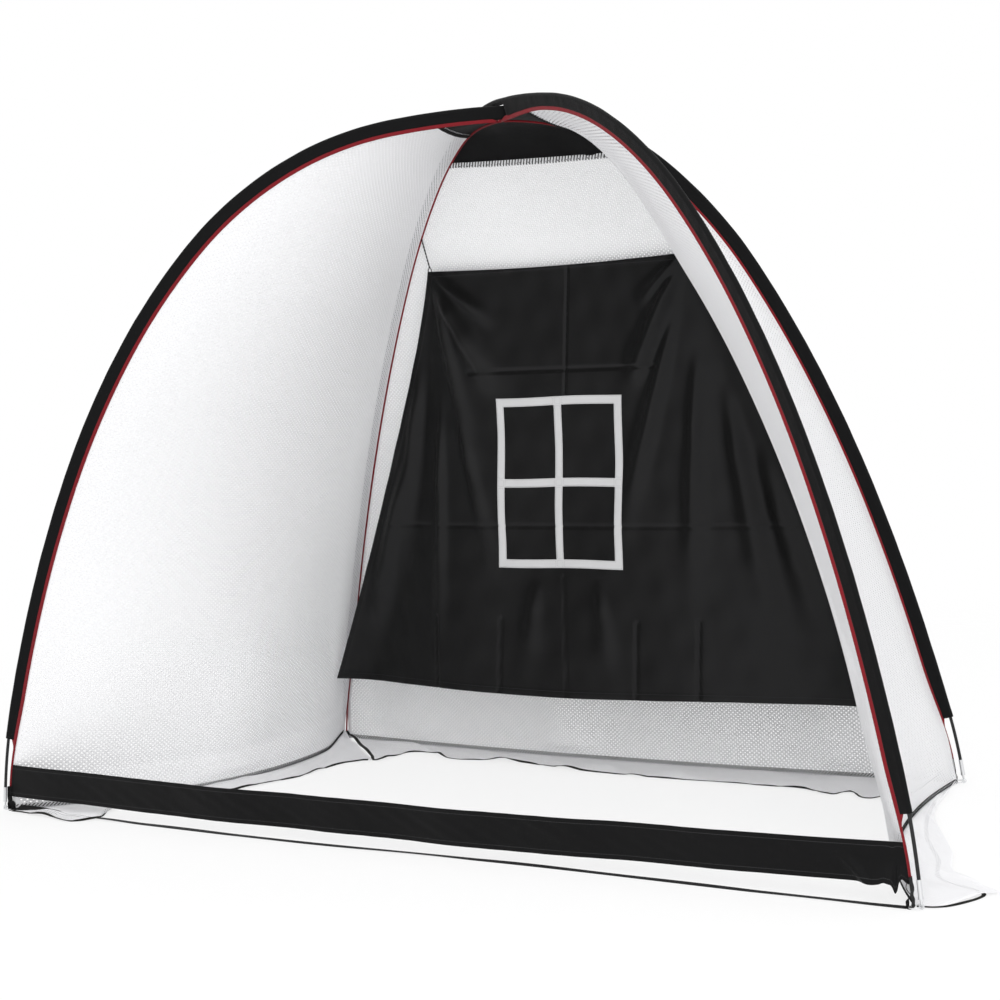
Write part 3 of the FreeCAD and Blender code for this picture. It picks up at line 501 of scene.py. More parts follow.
class Paint:
    """One node material: a principled shader and small helpers to wire its patterns."""

    def __init__(self, name, colour, roughness, **values):
        self.material = bpy.data.materials.new(name)
        self.material.use_nodes = True
        self.tree = self.material.node_tree
        self.shader = self.tree.nodes["Principled BSDF"]
        self.shader.inputs["Base Color"].default_value = (*colour, 1)
        self.shader.inputs["Roughness"].default_value = roughness
        for key, value in values.items():
            self.shader.inputs[key.replace("_", " ")].default_value = value
        self.colour = colour

    def node(self, kind, inputs=None, **settings):
        """A node with its settings; inputs are values or sockets."""
        made = self.tree.nodes.new(kind)
        for key, value in settings.items():
            setattr(made, key, value)
        for key, value in (inputs or {}).items():
            self.set(made.inputs[key], value)
        return made

    def set(self, socket, value):
        """A value or a link on a socket."""
        if isinstance(value, bpy.types.NodeSocket):
            self.tree.links.new(value, socket)
        else:
            socket.default_value = value

    def math(self, operation, *values):
        """One math step."""
        made = self.node("ShaderNodeMath", operation=operation)
        for index, value in enumerate(values):
            self.set(made.inputs[index], value)
        return made.outputs[0]

    def flat(self):
        """The cloth's own coordinates in metres: across and along."""
        uv = self.node("ShaderNodeUVMap", uv_map="Flat").outputs[0]
        split = self.node("ShaderNodeSeparateXYZ", {0: uv})
        return split.outputs[0], split.outputs[1]

    def place(self):
        """Object coordinates."""
        return self.node("ShaderNodeTexCoord").outputs["Object"]

    def attribute(self, name):
        """A number that the mesh holds at each point."""
        return self.node("ShaderNodeAttribute", attribute_name=name).outputs["Fac"]

    def ramp(self, value, low, high):
        """0 below low and 1 above high."""
        inputs = {0: value, 1: low, 2: high}
        return self.node("ShaderNodeMapRange", inputs, interpolation_type="SMOOTHSTEP").outputs[0]

    def noise(self, vector, scale, detail=3.0):
        """Cloudy values from 0 to 1."""
        inputs = {"Vector": vector, "Scale": scale, "Detail": detail}
        return self.node("ShaderNodeTexNoise", inputs).outputs[0]

    def wave(self, value, period):
        """A sine from 0 to 1 with a period in metres."""
        turned = self.math("SINE", self.math("MULTIPLY", value, 2 * math.pi / period))
        return self.math("MULTIPLY_ADD", turned, 0.5, 0.5)

    def mix(self, share, first, second):
        """A colour between two."""
        made = self.node("ShaderNodeMix", data_type="RGBA")
        self.set(made.inputs[0], share)
        for index, value in ((6, first), (7, second)):
            self.set(made.inputs[index], (*value, 1) if isinstance(value, tuple) else value)
        return made.outputs[2]

    def blend(self, first, second, share):
        """The first pattern by its share and the second by the rest."""
        rest = self.math("MULTIPLY", second, 1 - share)
        return self.math("MULTIPLY_ADD", first, share, rest)

    def tint(self, share, amount):
        """The paint's colour made darker and lighter by a cloudy share."""
        low = tuple(part * (1 - amount) for part in self.colour)
        high = tuple(min(part * (1 + amount), 1) for part in self.colour)
        return self.mix(share, low, high)

    def bump(self, *layers):
        """Heights in metres, each with a strength, as a chain of bumps on the shader."""
        normal = None
        for height, strength, distance in layers:
            inputs = {"Height": height, "Strength": strength, "Distance": distance}
            if normal is not None:
                inputs["Normal"] = normal
            normal = self.node("ShaderNodeBump", inputs).outputs[0]
        self.set(self.shader.inputs["Normal"], normal)

    def colour_from(self, socket):
        """Sets the base colour."""
        self.set(self.shader.inputs["Base Color"], socket)

    def over(self, share, colour):
        """Lays a colour over the present base colour."""
        base = self.shader.inputs["Base Color"].links[0].from_socket
        self.colour_from(self.mix(share, base, colour))

    def rough_from(self, value, low, high):
        """Roughness between two values by a cloudy share."""
        made = self.node("ShaderNodeMapRange", {0: value, 3: low, 4: high})
        self.set(self.shader.inputs["Roughness"], made.outputs[0])


def woven(paint, across, along, thread):
    """Plain weave height: crests of the two thread directions take turns."""
    warp = paint.wave(across, thread)
    weft = paint.wave(along, thread)
    return paint.math("ABSOLUTE", paint.math("SUBTRACT", warp, weft))


def stitches(paint, distance, along, middle, length, width=0.0006):
    """A row of stitches: 1 on the thread, at a distance from an edge and with gaps along it."""
    near = paint.math("COMPARE", distance, middle, width)
    share = paint.math("FRACT", paint.math("DIVIDE", along, length))
    return paint.math("MULTIPLY", near, paint.math("LESS_THAN", share, 0.68))


def cloth_paint(name, colour, thread=0.0011, roughness=0.62, sheen=0.04, crush=0.5, gloss=0.08):
    """Black or grey woven cloth: plain weave, slow colour changes, fine crumple and a soft sheen."""
    paint = Paint(
        name, colour, roughness, Sheen_Weight=sheen, Sheen_Roughness=0.45, Specular_IOR_Level=gloss
    )
    across, along = paint.flat()
    weave = woven(paint, across, along, thread)
    cloud = paint.noise(paint.place(), 3.5, 4.0)
    crumple = paint.noise(paint.place(), 26.0, 3.0)
    paint.colour_from(paint.tint(paint.blend(weave, cloud, 0.4), 0.35))
    paint.rough_from(cloud, roughness - 0.08, roughness + 0.08)
    paint.bump((crumple, crush, 0.0025), (weave, 0.35, 0.0003))
    return paint


def patch_paint(name, colour):
    """The patches' smoother cloth."""
    return cloth_paint(name, colour, thread=0.0010, crush=0.4).material


def target_paint(name, colour):
    """The sheet's thin cloth: painted highlight and painted shade that follow the folds' slope, and a row of
    stitches at the hem.
    """
    paint = cloth_paint(name, colour, thread=0.0008, roughness=0.40, sheen=0.02, gloss=0.09)
    across, along = paint.flat()
    row = stitches(paint, paint.attribute("seam"), paint.math("ADD", across, along), 0.020, 0.0045)
    # Painted highlight and painted shade: the cloth is made lighter or darker by the slope of its folds, as
    # if lit from one side
    paint.over(0.80, paint.mix(paint.ramp(paint.attribute("crest"), -0.75, 0.75), SLOPE_SHADE, SLOPE_HIGHLIGHT))
    paint.over(row, HEM_THREAD)
    return paint.material


def band_paint(name, colour):
    """The front band's cloth with a row of stitches near its edges."""
    paint = cloth_paint(name, colour, thread=0.0009, roughness=0.48, sheen=0.05)
    paint.over(stitches(paint, paint.attribute("seam"), paint.flat()[0], 0.012, 0.0045), BAND_THREAD)
    return paint.material


def sleeve_paint(name, colour):
    """Sleeve cloth with a row of stitches beside the piping."""
    paint = cloth_paint(name, colour)
    across, along = paint.flat()
    paint.over(stitches(paint, across, along, 0.0035, 0.0042), HEM_THREAD)
    return paint.material


def piping_paint(name, colour):
    """Red bias cloth over a cord: slanting twill lines and slow colour changes."""
    paint = Paint(name, colour, 0.58, Sheen_Weight=0.05, Sheen_Roughness=0.5, Specular_IOR_Level=0.2)
    across, along = paint.flat()
    twill = paint.wave(paint.math("ADD", across, along), 0.0016)
    cloud = paint.noise(paint.place(), 18.0)
    paint.colour_from(paint.tint(paint.blend(twill, cloud, 0.5), 0.28))
    paint.rough_from(cloud, 0.5, 0.66)
    paint.bump((twill, 0.6, 0.0004))
    return paint.material


def net_paint(name, colour, cell, hole, hole_shade, seam_width):
    """White knitted mesh. The holes lie where cos(x) cos(y) is high, which staggers them like bricks. The
    threads darken towards each hole with painted shade, the shadow inside each pit, and the cloth is closed
    beside a seam."""
    paint = Paint(name, colour, 0.72, Sheen_Weight=0.05, Sheen_Roughness=0.5, Specular_IOR_Level=0.2)
    across, along = paint.flat()
    wide = paint.math("COSINE", paint.math("MULTIPLY", across, 2 * math.pi / (2 * cell)))
    high = paint.math("COSINE", paint.math("MULTIPLY", along, 2 * math.pi / (1.7 * cell)))
    lumps = paint.math("MULTIPLY", wide, high)
    closed = paint.ramp(paint.attribute("seam"), seam_width + 0.003, seam_width)
    free = paint.math("SUBTRACT", 1.0, closed)
    opening = paint.math("MULTIPLY", paint.ramp(lumps, hole, hole + 0.14), free)
    paint.set(paint.shader.inputs["Alpha"], paint.math("SUBTRACT", 1.0, opening))
    cloud = paint.noise(paint.place(), 2.2, 3.0)
    base = paint.tint(cloud, 0.025)
    # Painted shade: the threads are darkened round each hole, as the shadow in each pit
    shade = paint.math("MULTIPLY", paint.ramp(lumps, hole - 0.32, hole + 0.04), hole_shade)
    shade = paint.math("MULTIPLY", shade, free)
    pit_shadow = tuple(part * 0.42 for part in colour)
    paint.colour_from(paint.mix(shade, base, pit_shadow))
    paint.rough_from(cloud, 0.66, 0.8)
    crumple = paint.noise(paint.place(), 9.0)
    paint.bump((paint.ramp(lumps, -0.6, hole + 0.1), 0.3, -0.0005), (crumple, 0.3, 0.005))
    return paint.material


def binding_paint(name, colour):
    """Ribbed binding tape folded over a hem."""
    paint = Paint(name, colour, 0.7, Sheen_Weight=0.03, Specular_IOR_Level=0.12)
    rib = paint.wave(paint.flat()[1], 0.0018)
    cloud = paint.noise(paint.place(), 12.0)
    paint.colour_from(paint.tint(paint.blend(rib, cloud, 0.5), 0.4))
    paint.rough_from(cloud, 0.62, 0.78)
    paint.bump((rib, 0.5, 0.0004))
    return paint.material


def webbing_paint(name, colour):
    """Flat woven webbing: ribs along it and cross threads."""
    paint = Paint(name, colour, 0.66, Sheen_Weight=0.03, Specular_IOR_Level=0.14)
    across, along = paint.flat()
    ribs = paint.wave(across, 0.0024)
    threads = paint.wave(along, 0.0013)
    cloud = paint.noise(paint.place(), 30.0)
    height = paint.math("MULTIPLY", ribs, threads)
    paint.colour_from(paint.tint(paint.blend(height, cloud, 0.6), 0.4))
    paint.rough_from(cloud, 0.58, 0.74)
    paint.bump((height, 0.7, 0.0005))
    return paint.material


def tape_paint(name, colour):
    """Grey zone tape with a woven face and a row of stitches along both edges."""
    paint = Paint(name, colour, 0.55, Sheen_Weight=0.2)
    across, along = paint.flat()
    weave = woven(paint, across, along, 0.0014)
    row = stitches(paint, paint.attribute("seam"), paint.math("ADD", across, along), 0.003, 0.005, 0.0007)
    cloud = paint.noise(paint.place(), 14.0)
    paint.colour_from(paint.tint(paint.blend(weave, cloud, 0.4), 0.08))
    paint.over(row, TAPE_THREAD)
    paint.rough_from(cloud, 0.48, 0.62)
    paint.bump((row, 0.5, -0.0004), (weave, 0.3, 0.0003))
    return paint.material


def fibreglass_paint(name, colour):
    """Smooth black pole with faint clouds and scuffs."""
    paint = Paint(name, colour, 0.34, Specular_IOR_Level=0.32)
    place = paint.place()
    cloud = paint.noise(place, 40.0, 4.0)
    scuffs = paint.noise(place, 160.0, 2.0)
    paint.colour_from(paint.tint(cloud, 0.35))
    paint.rough_from(scuffs, 0.26, 0.48)
    paint.bump((scuffs, 0.12, 0.0003))
    return paint.material


def steel_paint(name, colour):
    """Bright drawn steel with fine scratches and duller patches."""
    paint = Paint(name, colour, 0.28, Metallic=1.0)
    place = paint.place()
    stretched = paint.node("ShaderNodeMapping", {0: place, "Scale": (1.0, 1.0, 0.08)}).outputs[0]
    scratches = paint.noise(stretched, 900.0, 3.0)
    cloud = paint.noise(place, 35.0, 3.0)
    paint.colour_from(paint.tint(cloud, 0.1))
    paint.rough_from(cloud, 0.2, 0.42)
    paint.bump((scratches, 0.15, 0.0002))
    return paint.material


def thread_paint(name, colour):
    """Sewing thread and cord with a slanting twist."""
    paint = Paint(name, colour, 0.6, Sheen_Weight=0.03, Specular_IOR_Level=0.15)
    across, along = paint.flat()
    twist = paint.wave(paint.math("MULTIPLY_ADD", across, 1.4, along), 0.0022)
    paint.colour_from(paint.tint(twist, 0.3))
    paint.rough_from(twist, 0.52, 0.68)
    paint.bump((twist, 0.6, 0.0004))
    return paint.material


# Sizes and colours that a user may change


def colour_property(name, text, value):
    """A colour on a panel."""
    return bpy.props.FloatVectorProperty(
        name=name, description=text, subtype="COLOR", size=3, min=0.0, max=1.0, default=value
    )


def size_property(name, text, value):
    """A length on a panel."""
    return bpy.props.FloatProperty(
        name=name, description=text, default=value, min=0.0, unit="LENGTH", precision=4
    )


class NetColours(bpy.types.PropertyGroup):
    """Colours of cloth, tape, thread and metal."""

    black_cloth: colour_property(
        "Black cloth", "Sleeves, patches, band and target sheet", (0.0055, 0.0055, 0.0058)
    )
    piping: colour_property("Piping", "Cloth over the piping cord", (0.20, 0.0055, 0.011))
    mesh: colour_property("Mesh", "Net walls and skirts", (0.9, 0.9, 0.915))
    tape: colour_property("Zone tape", "Strike zone frame", (0.58, 0.58, 0.585))
    binding: colour_property("Binding", "Tape on the skirts' hems", (0.008, 0.008, 0.0055))
    webbing: colour_property("Webbing", "Corner loops and ground strap", (0.009, 0.009, 0.0095))
    pole: colour_property("Pole", "Fibreglass pole", (0.008, 0.008, 0.009))
    steel: colour_property("Steel", "Ferrules, pins and rings", (0.74, 0.75, 0.76))
    floor: colour_property("Floor", "Studio floor and backdrop", (0.96, 0.96, 0.96))


class NetSizes(bpy.types.PropertyGroup):
    """Sizes of the cloth's detail."""

    mesh_cell: size_property("Mesh cell", "Distance between holes across the net", 0.0075)
    mesh_thickness: size_property("Mesh thickness", "Thickness of the knitted mesh", 0.0010)
    cloth_thickness: size_property("Cloth thickness", "Thickness of the black cloth", 0.0008)
    piping_bead: size_property("Piping bead", "Radius of the piping over its cord", 0.0031)
    piping_proud: size_property("Piping set-out", "How far the bead stands inside the wall's seam", 0.0022)
    sleeve_pucker: size_property("Sleeve pucker", "How far the sleeve's flap waves", 0.0011)
    wall_ripple: size_property("Wall ripple", "How far the net walls wave", 0.0055)
    foot_fold: size_property("Foot fold", "Depth of the folds at the foot of the walls", 0.016)
    sheet_fold: size_property("Sheet fold", "Depth of the folds in the target sheet", 0.021)
    stitch: size_property("Stitch", "Distance between the overlock stitches", 0.0105)
    stitch_reach: size_property("Stitch reach", "How far the stitches reach to each side of a seam", 0.0048)
    stitch_lift: size_property("Stitch lift", "How far the stitches stand off the cloth's middle", 0.0030)


def colours():
    """The chosen colours."""
    return bpy.context.scene.net_colours


def sizes():
    """The chosen sizes."""
    return bpy.context.scene.net_sizes


def kept(name, maker, *values):
    """A material that is made once and shared."""
    return bpy.data.materials.get(name) or maker(name, *values)


def black_thread():
    """Sewing thread and cord."""
    return kept("black_thread", thread_paint, BLACK_THREAD)


# Walls


# patch is how far below the apex the black patch ends on both sides, foot_lift raises the foot's second end
# and seed sets the waves
Wall = namedtuple("Wall", "first second patch sag foot_sag foot_height foot_lift seed")
FRONT_LEFT, FRONT_RIGHT, REAR_LEFT, REAR_RIGHT = CORNERS.values()
WALLS = {
    "left": Wall(FRONT_LEFT, REAR_LEFT, (0.175, 0.230), 0.105, 0.270, FOOT_HEIGHT, 0.020, 1.0),
    "right": Wall(
        FRONT_RIGHT, REAR_RIGHT, (0.175, 0.230), 0.105, 0.100, SKIRT_BASE + FOOT_HEIGHT, 0.0, 2.3
    ),
    "back": Wall(REAR_LEFT, REAR_RIGHT, (0.410, 0.410), 0.012, 0.050, FOOT_HEIGHT, 0.0, 3.1),
}


def arc_rise(half, sag, share):
    """Height of a circle's arc over its chord: sqrt(radius^2 - x^2) less (radius - sag), with x the
    distance from the chord's middle and radius (half^2 + sag^2) / (2 sag)."""
    radius = (half**2 + sag**2) / (2 * sag)
    return np.sqrt(np.maximum(radius**2 - (half * (2 * share - 1)) ** 2, 0)) - (radius - sag)


def wall_rows(made, tops, ends, levels, columns):
    """Level arcs between a wall's two pipings, from tops to ends below the apex: chord + normal * rise.
    The sag is full from 0.4 of the way down, and changes near the foot. Returns the points, the inward
    normals and the chords' lengths."""
    first, second = made.first, made.second
    distances = [mixed(tops[side], ends[side], np.linspace(0, 1, levels)) for side in (0, 1)]
    depth = distances[0] / (first.reach() - NET_FOOT)
    sag = made.sag * smooth(depth / 0.4) + (made.foot_sag - made.sag) * smooth((depth - 0.55) / 0.45) * 0.8
    start = first.pole.piping(first.from_apex(distances[0]))
    end = second.pole.piping(second.from_apex(distances[1]))
    down = first.pole.way(first.from_apex(distances[0])) * (-1 if first.front else 1)
    down = down + second.pole.way(second.from_apex(distances[1])) * (-1 if second.front else 1)
    normal = facing(unit(np.cross(end - start, down)), start, MIDDLE)
    share = np.linspace(0, 1, columns)
    half = np.linalg.norm(end - start, axis=1)[:, None] / 2
    rise = arc_rise(half, np.maximum(np.abs(sag), 1e-5)[:, None], share)
    grid = start[:, None] + (end - start)[:, None] * share[None, :, None] + normal[:, None] * rise[..., None]
    return grid, normal, half * 2


def foot_row(made):
    """The arc at a wall's foot, on the ground."""
    start, end = (
        corner.pole.piping(np.array([corner.from_foot(0.0)]))[0] for corner in (made.first, made.second)
    )
    start[2] = end[2] = made.foot_height
    way = unit(end - start)
    normal = facing(unit(np.cross(UP, end - start)), start, APEX_PLAN)
    start, end = start + way * FOOT_GAP, end - way * FOOT_GAP
    share = np.linspace(0, 1, COLUMNS)[:, None]
    foot = mixed(start, end, share) + normal * arc_rise(np.linalg.norm(end - start) / 2, made.foot_sag, share)
    foot[:, 2] += made.foot_lift * smooth((share[:, 0] - 0.86) / 0.11)
    return foot


def wall(name):
    """Points of one wall from its patch to the ground, with soft waves and deeper folds at the foot.
    Returns the grid, the cloth's coordinates and the distance to the nearest seam."""
    made = WALLS[name]
    reach = made.first.reach() - NET_FOOT, made.second.reach() - NET_FOOT
    grid, normal, chord = wall_rows(made, made.patch, reach, LEVELS, COLUMNS)
    shares = np.linspace(0, 1, FOOT_LEVELS + 1)[1:, None, None]
    grid = np.concatenate([grid, mixed(grid[-1:], foot_row(made)[None], shares)])
    normal = np.concatenate([normal, np.repeat(normal[-1:], FOOT_LEVELS, 0)])
    chord = np.concatenate([chord, np.repeat(chord[-1:], FOOT_LEVELS, 0)])
    runs = runs_along(grid[:, COLUMNS // 2])
    place = np.linspace(0, 1, COLUMNS)[None]
    across = np.linspace(-0.5, 0.5, COLUMNS)[None] * chord
    along = runs[:, None]
    aside = np.minimum(place, 1 - place) * chord
    level = along / runs[-1]
    last = smooth((1 - level) * runs[-1] / 0.05)
    wave = ripple(across, along * 0.35, 0.75, made.seed) * sizes().wall_ripple * (0.4 + level)
    fold = ripple(across, along * 0.22, 0.33, made.seed + 0.7) * sizes().foot_fold
    fold = fold * smooth((level - 0.70) / 0.25)
    fold = np.where(fold < 0, fold * 0.6, fold)
    push = (wave + fold * last) * smooth(aside / 0.12) * smooth(along / 0.10) * last
    grid = grid + normal[:, None] * push[..., None]
    edge = np.minimum(aside, runs[-1] - along)
    return grid, laid_out(across, along), np.minimum(edge, along + 0.004)


def patch_surface(name):
    """Points of one black patch from the apex down to its lower edge."""
    made = WALLS[name]
    grid, normal, chord = wall_rows(made, (0.016, 0.016), [end + 0.006 for end in made.patch], 40, 70)
    place = np.linspace(0, 1, 70)[None]
    across = (place - 0.5) * chord
    along = runs_along(grid[:, 35])[:, None]
    held = smooth(np.minimum(place, 1 - place) * chord / 0.05)
    push = ripple(across, along, 0.16, 4.2) * 0.0022 * held - 0.0011
    return grid + normal[:, None] * push[..., None], laid_out(across, along)


def overlock(name, line, down, normal, reach, radius):
    """Thread wound round a seam: line + down * reach * sin(t) + normal * lift * tanh(3 cos(t)), so that it
    crosses the cloth in slanting stitches on both sides."""
    length = np.linalg.norm(np.diff(line, axis=0), axis=1).sum()
    marks = np.linspace(0, 1, len(line))
    fine = np.linspace(0, 1, int(length / sizes().stitch) * 9)
    line, down, normal = (between(fine, marks, values) for values in (line, down, normal))
    turns = (2 * math.pi * fine * length / sizes().stitch)[:, None]
    way = unit(np.gradient(line, axis=0))
    down = unit(down - way * (down * way).sum(axis=1, keepdims=True))
    down = down - 0.7 * unit(np.cross(normal, down))
    lift = sizes().stitch_lift
    path = line + down * (reach * np.sin(turns)) + normal * (lift * np.tanh(3 * np.cos(turns)))
    finish(swept(name, path, ring_profile(radius, 5)), "tent", black_thread(), "black_cord")


class PITCHINGNET_OT_walls(bpy.types.Operator):
    """Three white net walls, overlocked at the patches and at the foot"""

    bl_idname = "pitching_net.walls"
    bl_label = "Net walls"

    def execute(self, context):
        cell = sizes().mesh_cell
        colour = tuple(colours().mesh)
        # Both meshes carry painted shade round their holes; the back wall's copy has much darker painted
        # shade, standing for the shadow that the target sheet casts on it
        side_mesh = kept("side_mesh", net_paint, colour, cell, 0.38, 0.12, 0.012)
        back_mesh = kept("back_mesh", net_paint, colour, cell, 0.40, 0.60, 0.012)
        flats = {"left": (1.75, 3.0), "right": (1.75, 3.0), "back": (2.4, 2.5)}
        for name in WALLS:
            grid, flat, edge = wall(name)
            piece = surface(f"wall_{name}", grid, flat, seam=edge)
            finish(piece, "tent", back_mesh if name == "back" else side_mesh, "white_netting", f"net_{name}")
            area = cloth_area(piece)
            width, length = flats[name]
            length = max(length, area / width * 1.02)
            thickened(piece, sizes().mesh_thickness)
            self.seams(name, grid)
        return {"FINISHED"}

    def seams(self, name, grid):
        """Stitches along a wall's foot and along its patch."""
        normal = unit(np.cross(np.gradient(grid, axis=1), np.gradient(grid, axis=0)))
        normal = facing(normal, grid, MIDDLE)
        inner = grid[:, 1:-1]
        line = inner[-1] + UP * 0.009
        reach = sizes().stitch_reach
        overlock(f"foot_seam_{name}", line, UP + 0 * line, normal[-2, 1:-1], reach, radius=0.0014)
        runs = np.linalg.norm(inner - inner[:1], axis=-1).mean(axis=1)
        row = max(int(np.searchsorted(runs, 0.020)), 1)
        down = unit(inner[row] - inner[0])
        line = inner[0] + down * 0.0095
        overlock(f"patch_stitch_{name}", line, down, normal[row, 1:-1], reach * 2.0, radius=0.0017)


class PITCHINGNET_OT_patches(bpy.types.Operator):
    """Three black cloth patches at the top, overlocked to the net"""

    bl_idname = "pitching_net.patches"
    bl_label = "Top patches"

    def execute(self, context):
        material = kept("patch_cloth", patch_paint, tuple(colours().black_cloth))
        for name in WALLS:
            grid, flat = patch_surface(name)
            piece = surface(f"top_patch_{name}", grid, flat)
            finish(piece, "tent", material, "black_patch_cloth", f"patch_{name}")
            area = cloth_area(piece)
            thickened(piece, sizes().cloth_thickness)
        return {"FINISHED"}


# Sleeves and piping


def sleeve(name, pole):
    """The folded cloth round a pole. Each ring goes out along the flap's upper layer, round the pole and
    back, then inside. The flap waves sideways, the tube is a little slack, and both ends have a hem."""
    start, end = FRONT_SLEEVE_END, pole.length - REAR_SLEEVE_END
    runs = np.linspace(start, end, 620)
    middle, way, flap = pole.at(runs), pole.way(runs), pole.inward(runs)
    side = np.cross(way, flap)
    reach = pole.flap(runs)[:, None]
    outer = np.radians(np.linspace(66, 294, 15))[None]
    from_end = np.minimum(runs - start, end - runs)[:, None]
    hem = np.where(from_end < 0.018, 0.0005, 0.0)
    slack = 1 + 0.035 * ripple(runs[:, None], outer * 0.03, 0.09, 1.9)
    radius = (SLEEVE_RADIUS + hem) * slack
    tube = polar(radius, outer)
    steps = np.linspace(0, 1, 5)[None, :-1, None]
    tip = np.stack([reach, np.full_like(reach, 0.0012)], axis=-1)
    upper = tip + (tube[:, :1] - tip) * steps
    lower_tip = tip * np.array((1, -1))
    lower = (lower_tip + (tube[:, -1:] - lower_tip) * steps)[:, ::-1]
    inner = np.radians(np.linspace(358, 2, 14))[None] + 0 * reach
    tunnel = polar(TUNNEL_RADIUS, inner)
    slit = np.stack([reach - 0.0004, np.full_like(reach, 0.0002)], axis=-1)
    marks = np.concatenate([upper, tube, lower, slit * np.array((1, -1)), tunnel, slit], axis=1)
    part = np.clip(marks[..., 0] / np.maximum(reach, 1e-6), 0, 1)
    pucker = sizes().sleeve_pucker
    wave = ripple(runs[:, None], 0, 0.06, 0.6) * pucker + ripple(runs[:, None], 0, 0.021, 2.2) * pucker * 0.4
    marks[..., 1] += wave * np.sin(np.clip(part / 0.72, 0, 1) * math.pi) ** 1.5
    return ringed(name, middle, flap, side, marks, runs)


class PITCHINGNET_OT_sleeves(bpy.types.Operator):
    """Black cloth sleeves on both poles"""

    bl_idname = "pitching_net.sleeves"
    bl_label = "Pole sleeves"

    def execute(self, context):
        material = kept("sleeve_cloth", sleeve_paint, tuple(colours().black_cloth))
        for name, pole in ARCHES.items():
            piece = sleeve(f"pole_sleeve_{name}", pole)
            finish(piece, "tent", material, "black_sleeve_cloth", f"sleeve_{name}")
            area = cloth_area(piece) / 2
        return {"FINISHED"}


class PITCHINGNET_OT_piping(bpy.types.Operator):
    """Red piping along the sleeves and the red knot at the top"""

    bl_idname = "pitching_net.piping"
    bl_label = "Piping and knot"

    def execute(self, context):
        material = kept("piping_cloth", piping_paint, tuple(colours().piping))
        for name, corner in CORNERS.items():
            distances = np.linspace(0.0114, corner.reach() - corner.piping_foot, 330)
            runs = corner.from_apex(distances)
            flap = corner.pole.inward(runs)
            path = corner.pole.piping(runs) + flap * sizes().piping_proud
            side = np.cross(corner.pole.way(runs), flap)
            marks = self.outline(corner, distances)
            piece = ringed(f"red_piping_{name}", path, flap, side, marks, distances)
            finish(piece, "tent", material, "red_piping", f"piping_{name}")
        middle = np.mean(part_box("apex_knot"), axis=0) - MOVE
        turns = np.linspace(0, 2 * math.pi, 120)
        piece = swept("top_knot", middle + trefoil(turns, 0.75) * 0.0024, ring_profile(0.0022, 10))
        finish(piece, "tent", material, "red_piping", "apex_knot")
        return {"FINISHED"}

    def outline(self, corner, distances):
        """Round bead over the cord with a tape that folds over the sleeve's edge. The tape is 9 mm deep,
        deeper above the foot, and gone below the sleeve's end."""
        bead = sizes().piping_bead * (1 + 0.04 * ripple(distances, 0, 0.03, 1.1))[:, None]
        turns = np.radians(np.linspace(-138, 138, 13))[None]
        round_part = polar(bead, turns)
        from_foot = corner.reach() - distances
        end = FRONT_SLEEVE_END if corner.front else REAR_SLEEVE_END
        depth = 0.009 + 0.008 * smooth((0.62 - from_foot) / 0.25) * corner.front
        depth = depth * smooth((from_foot - end + 0.030) / 0.045) * smooth((distances - 0.010) / 0.03)
        depth = np.maximum(depth * (1 + 0.08 * ripple(distances, 0, 0.05, 3.3)), 0.0002)[:, None]
        start = bead * math.cos(math.radians(138)) - sizes().piping_proud * 0.5
        thin = np.minimum(0.0021, bead * 0.66)
        upper = [np.stack([start - depth * share, thin * (1 - 0.15 * share) + 0 * depth], axis=-1)
                 for share in (0.3, 0.7, 1.0)]
        lower = [mark * np.array((1, -1)) for mark in upper[::-1]]
        return np.concatenate([round_part, *upper, *lower], axis=1)


# Target


# Folds and creases of the sheet: start and end as (x, z), width, and share of the fold's depth
FOLD_LINES = [
    ((-0.480, 1.622), (-0.230, 1.430), 0.022, 0.9),
    ((-0.485, 1.610), (-0.215, 1.180), 0.044, 1.9),
    ((-0.482, 1.600), (-0.330, 0.960), 0.026, 0.9),
    ((-0.405, 1.210), (-0.262, 0.560), 0.030, 0.8),
    ((-0.464, 1.250), (-0.520, 0.300), 0.026, 0.9),
    ((-0.540, 1.350), (-0.720, 0.500), 0.042, 1.2),
    ((-0.620, 1.050), (-0.860, 0.330), 0.046, 1.3),
    ((0.430, 1.622), (0.265, 1.470), 0.024, 0.9),
    ((0.434, 1.610), (0.215, 1.190), 0.038, 1.6),
    ((0.420, 1.500), (0.170, 0.700), 0.034, 0.9),
    ((0.470, 1.350), (0.420, 0.500), 0.034, 0.9),
    ((0.550, 1.250), (0.690, 0.420), 0.044, 1.1),
    ((0.650, 1.050), (0.860, 0.330), 0.046, 1.0),
    ((-0.120, 0.640), (-0.180, 0.300), 0.040, 0.5),
    ((0.100, 0.640), (0.150, 0.300), 0.036, 0.5),
]
CREASES = [
    ((-0.520, 0.500), (-0.530, 0.262), 0.005, 0.22),
    ((-0.264, 0.500), (-0.280, 0.262), 0.005, 0.22),
    ((0.238, 0.500), (0.226, 0.262), 0.005, 0.22),
    ((0.447, 0.510), (0.436, 0.262), 0.005, 0.22),
    ((-0.350, 1.296), (0.330, 1.292), 0.004, 0.20),
    ((0.030, 1.610), (0.006, 1.215), 0.004, 0.20),
    ((-0.022, 0.640), (-0.024, 0.262), 0.004, 0.14),
    ((-0.700, 0.800), (0.760, 0.800), 0.004, 0.10),
]


def near_line(x, z, start, end):
    """Distance to a straight line and how far along it a point lies, from 0 to 1."""
    start, end = np.array(start), np.array(end)
    way = end - start
    share = ((x - start[0]) * way[0] + (z - start[1]) * way[1]) / (way @ way)
    held = np.clip(share, 0, 1)
    return np.hypot(x - start[0] - way[0] * held, z - start[1] - way[1] * held), share


def sheet_edges(drop):
    """Left and right edge of the sheet at a share of its drop."""
    return -0.497 - 0.502 * drop**1.2, 0.437 + 0.545 * drop**0.75


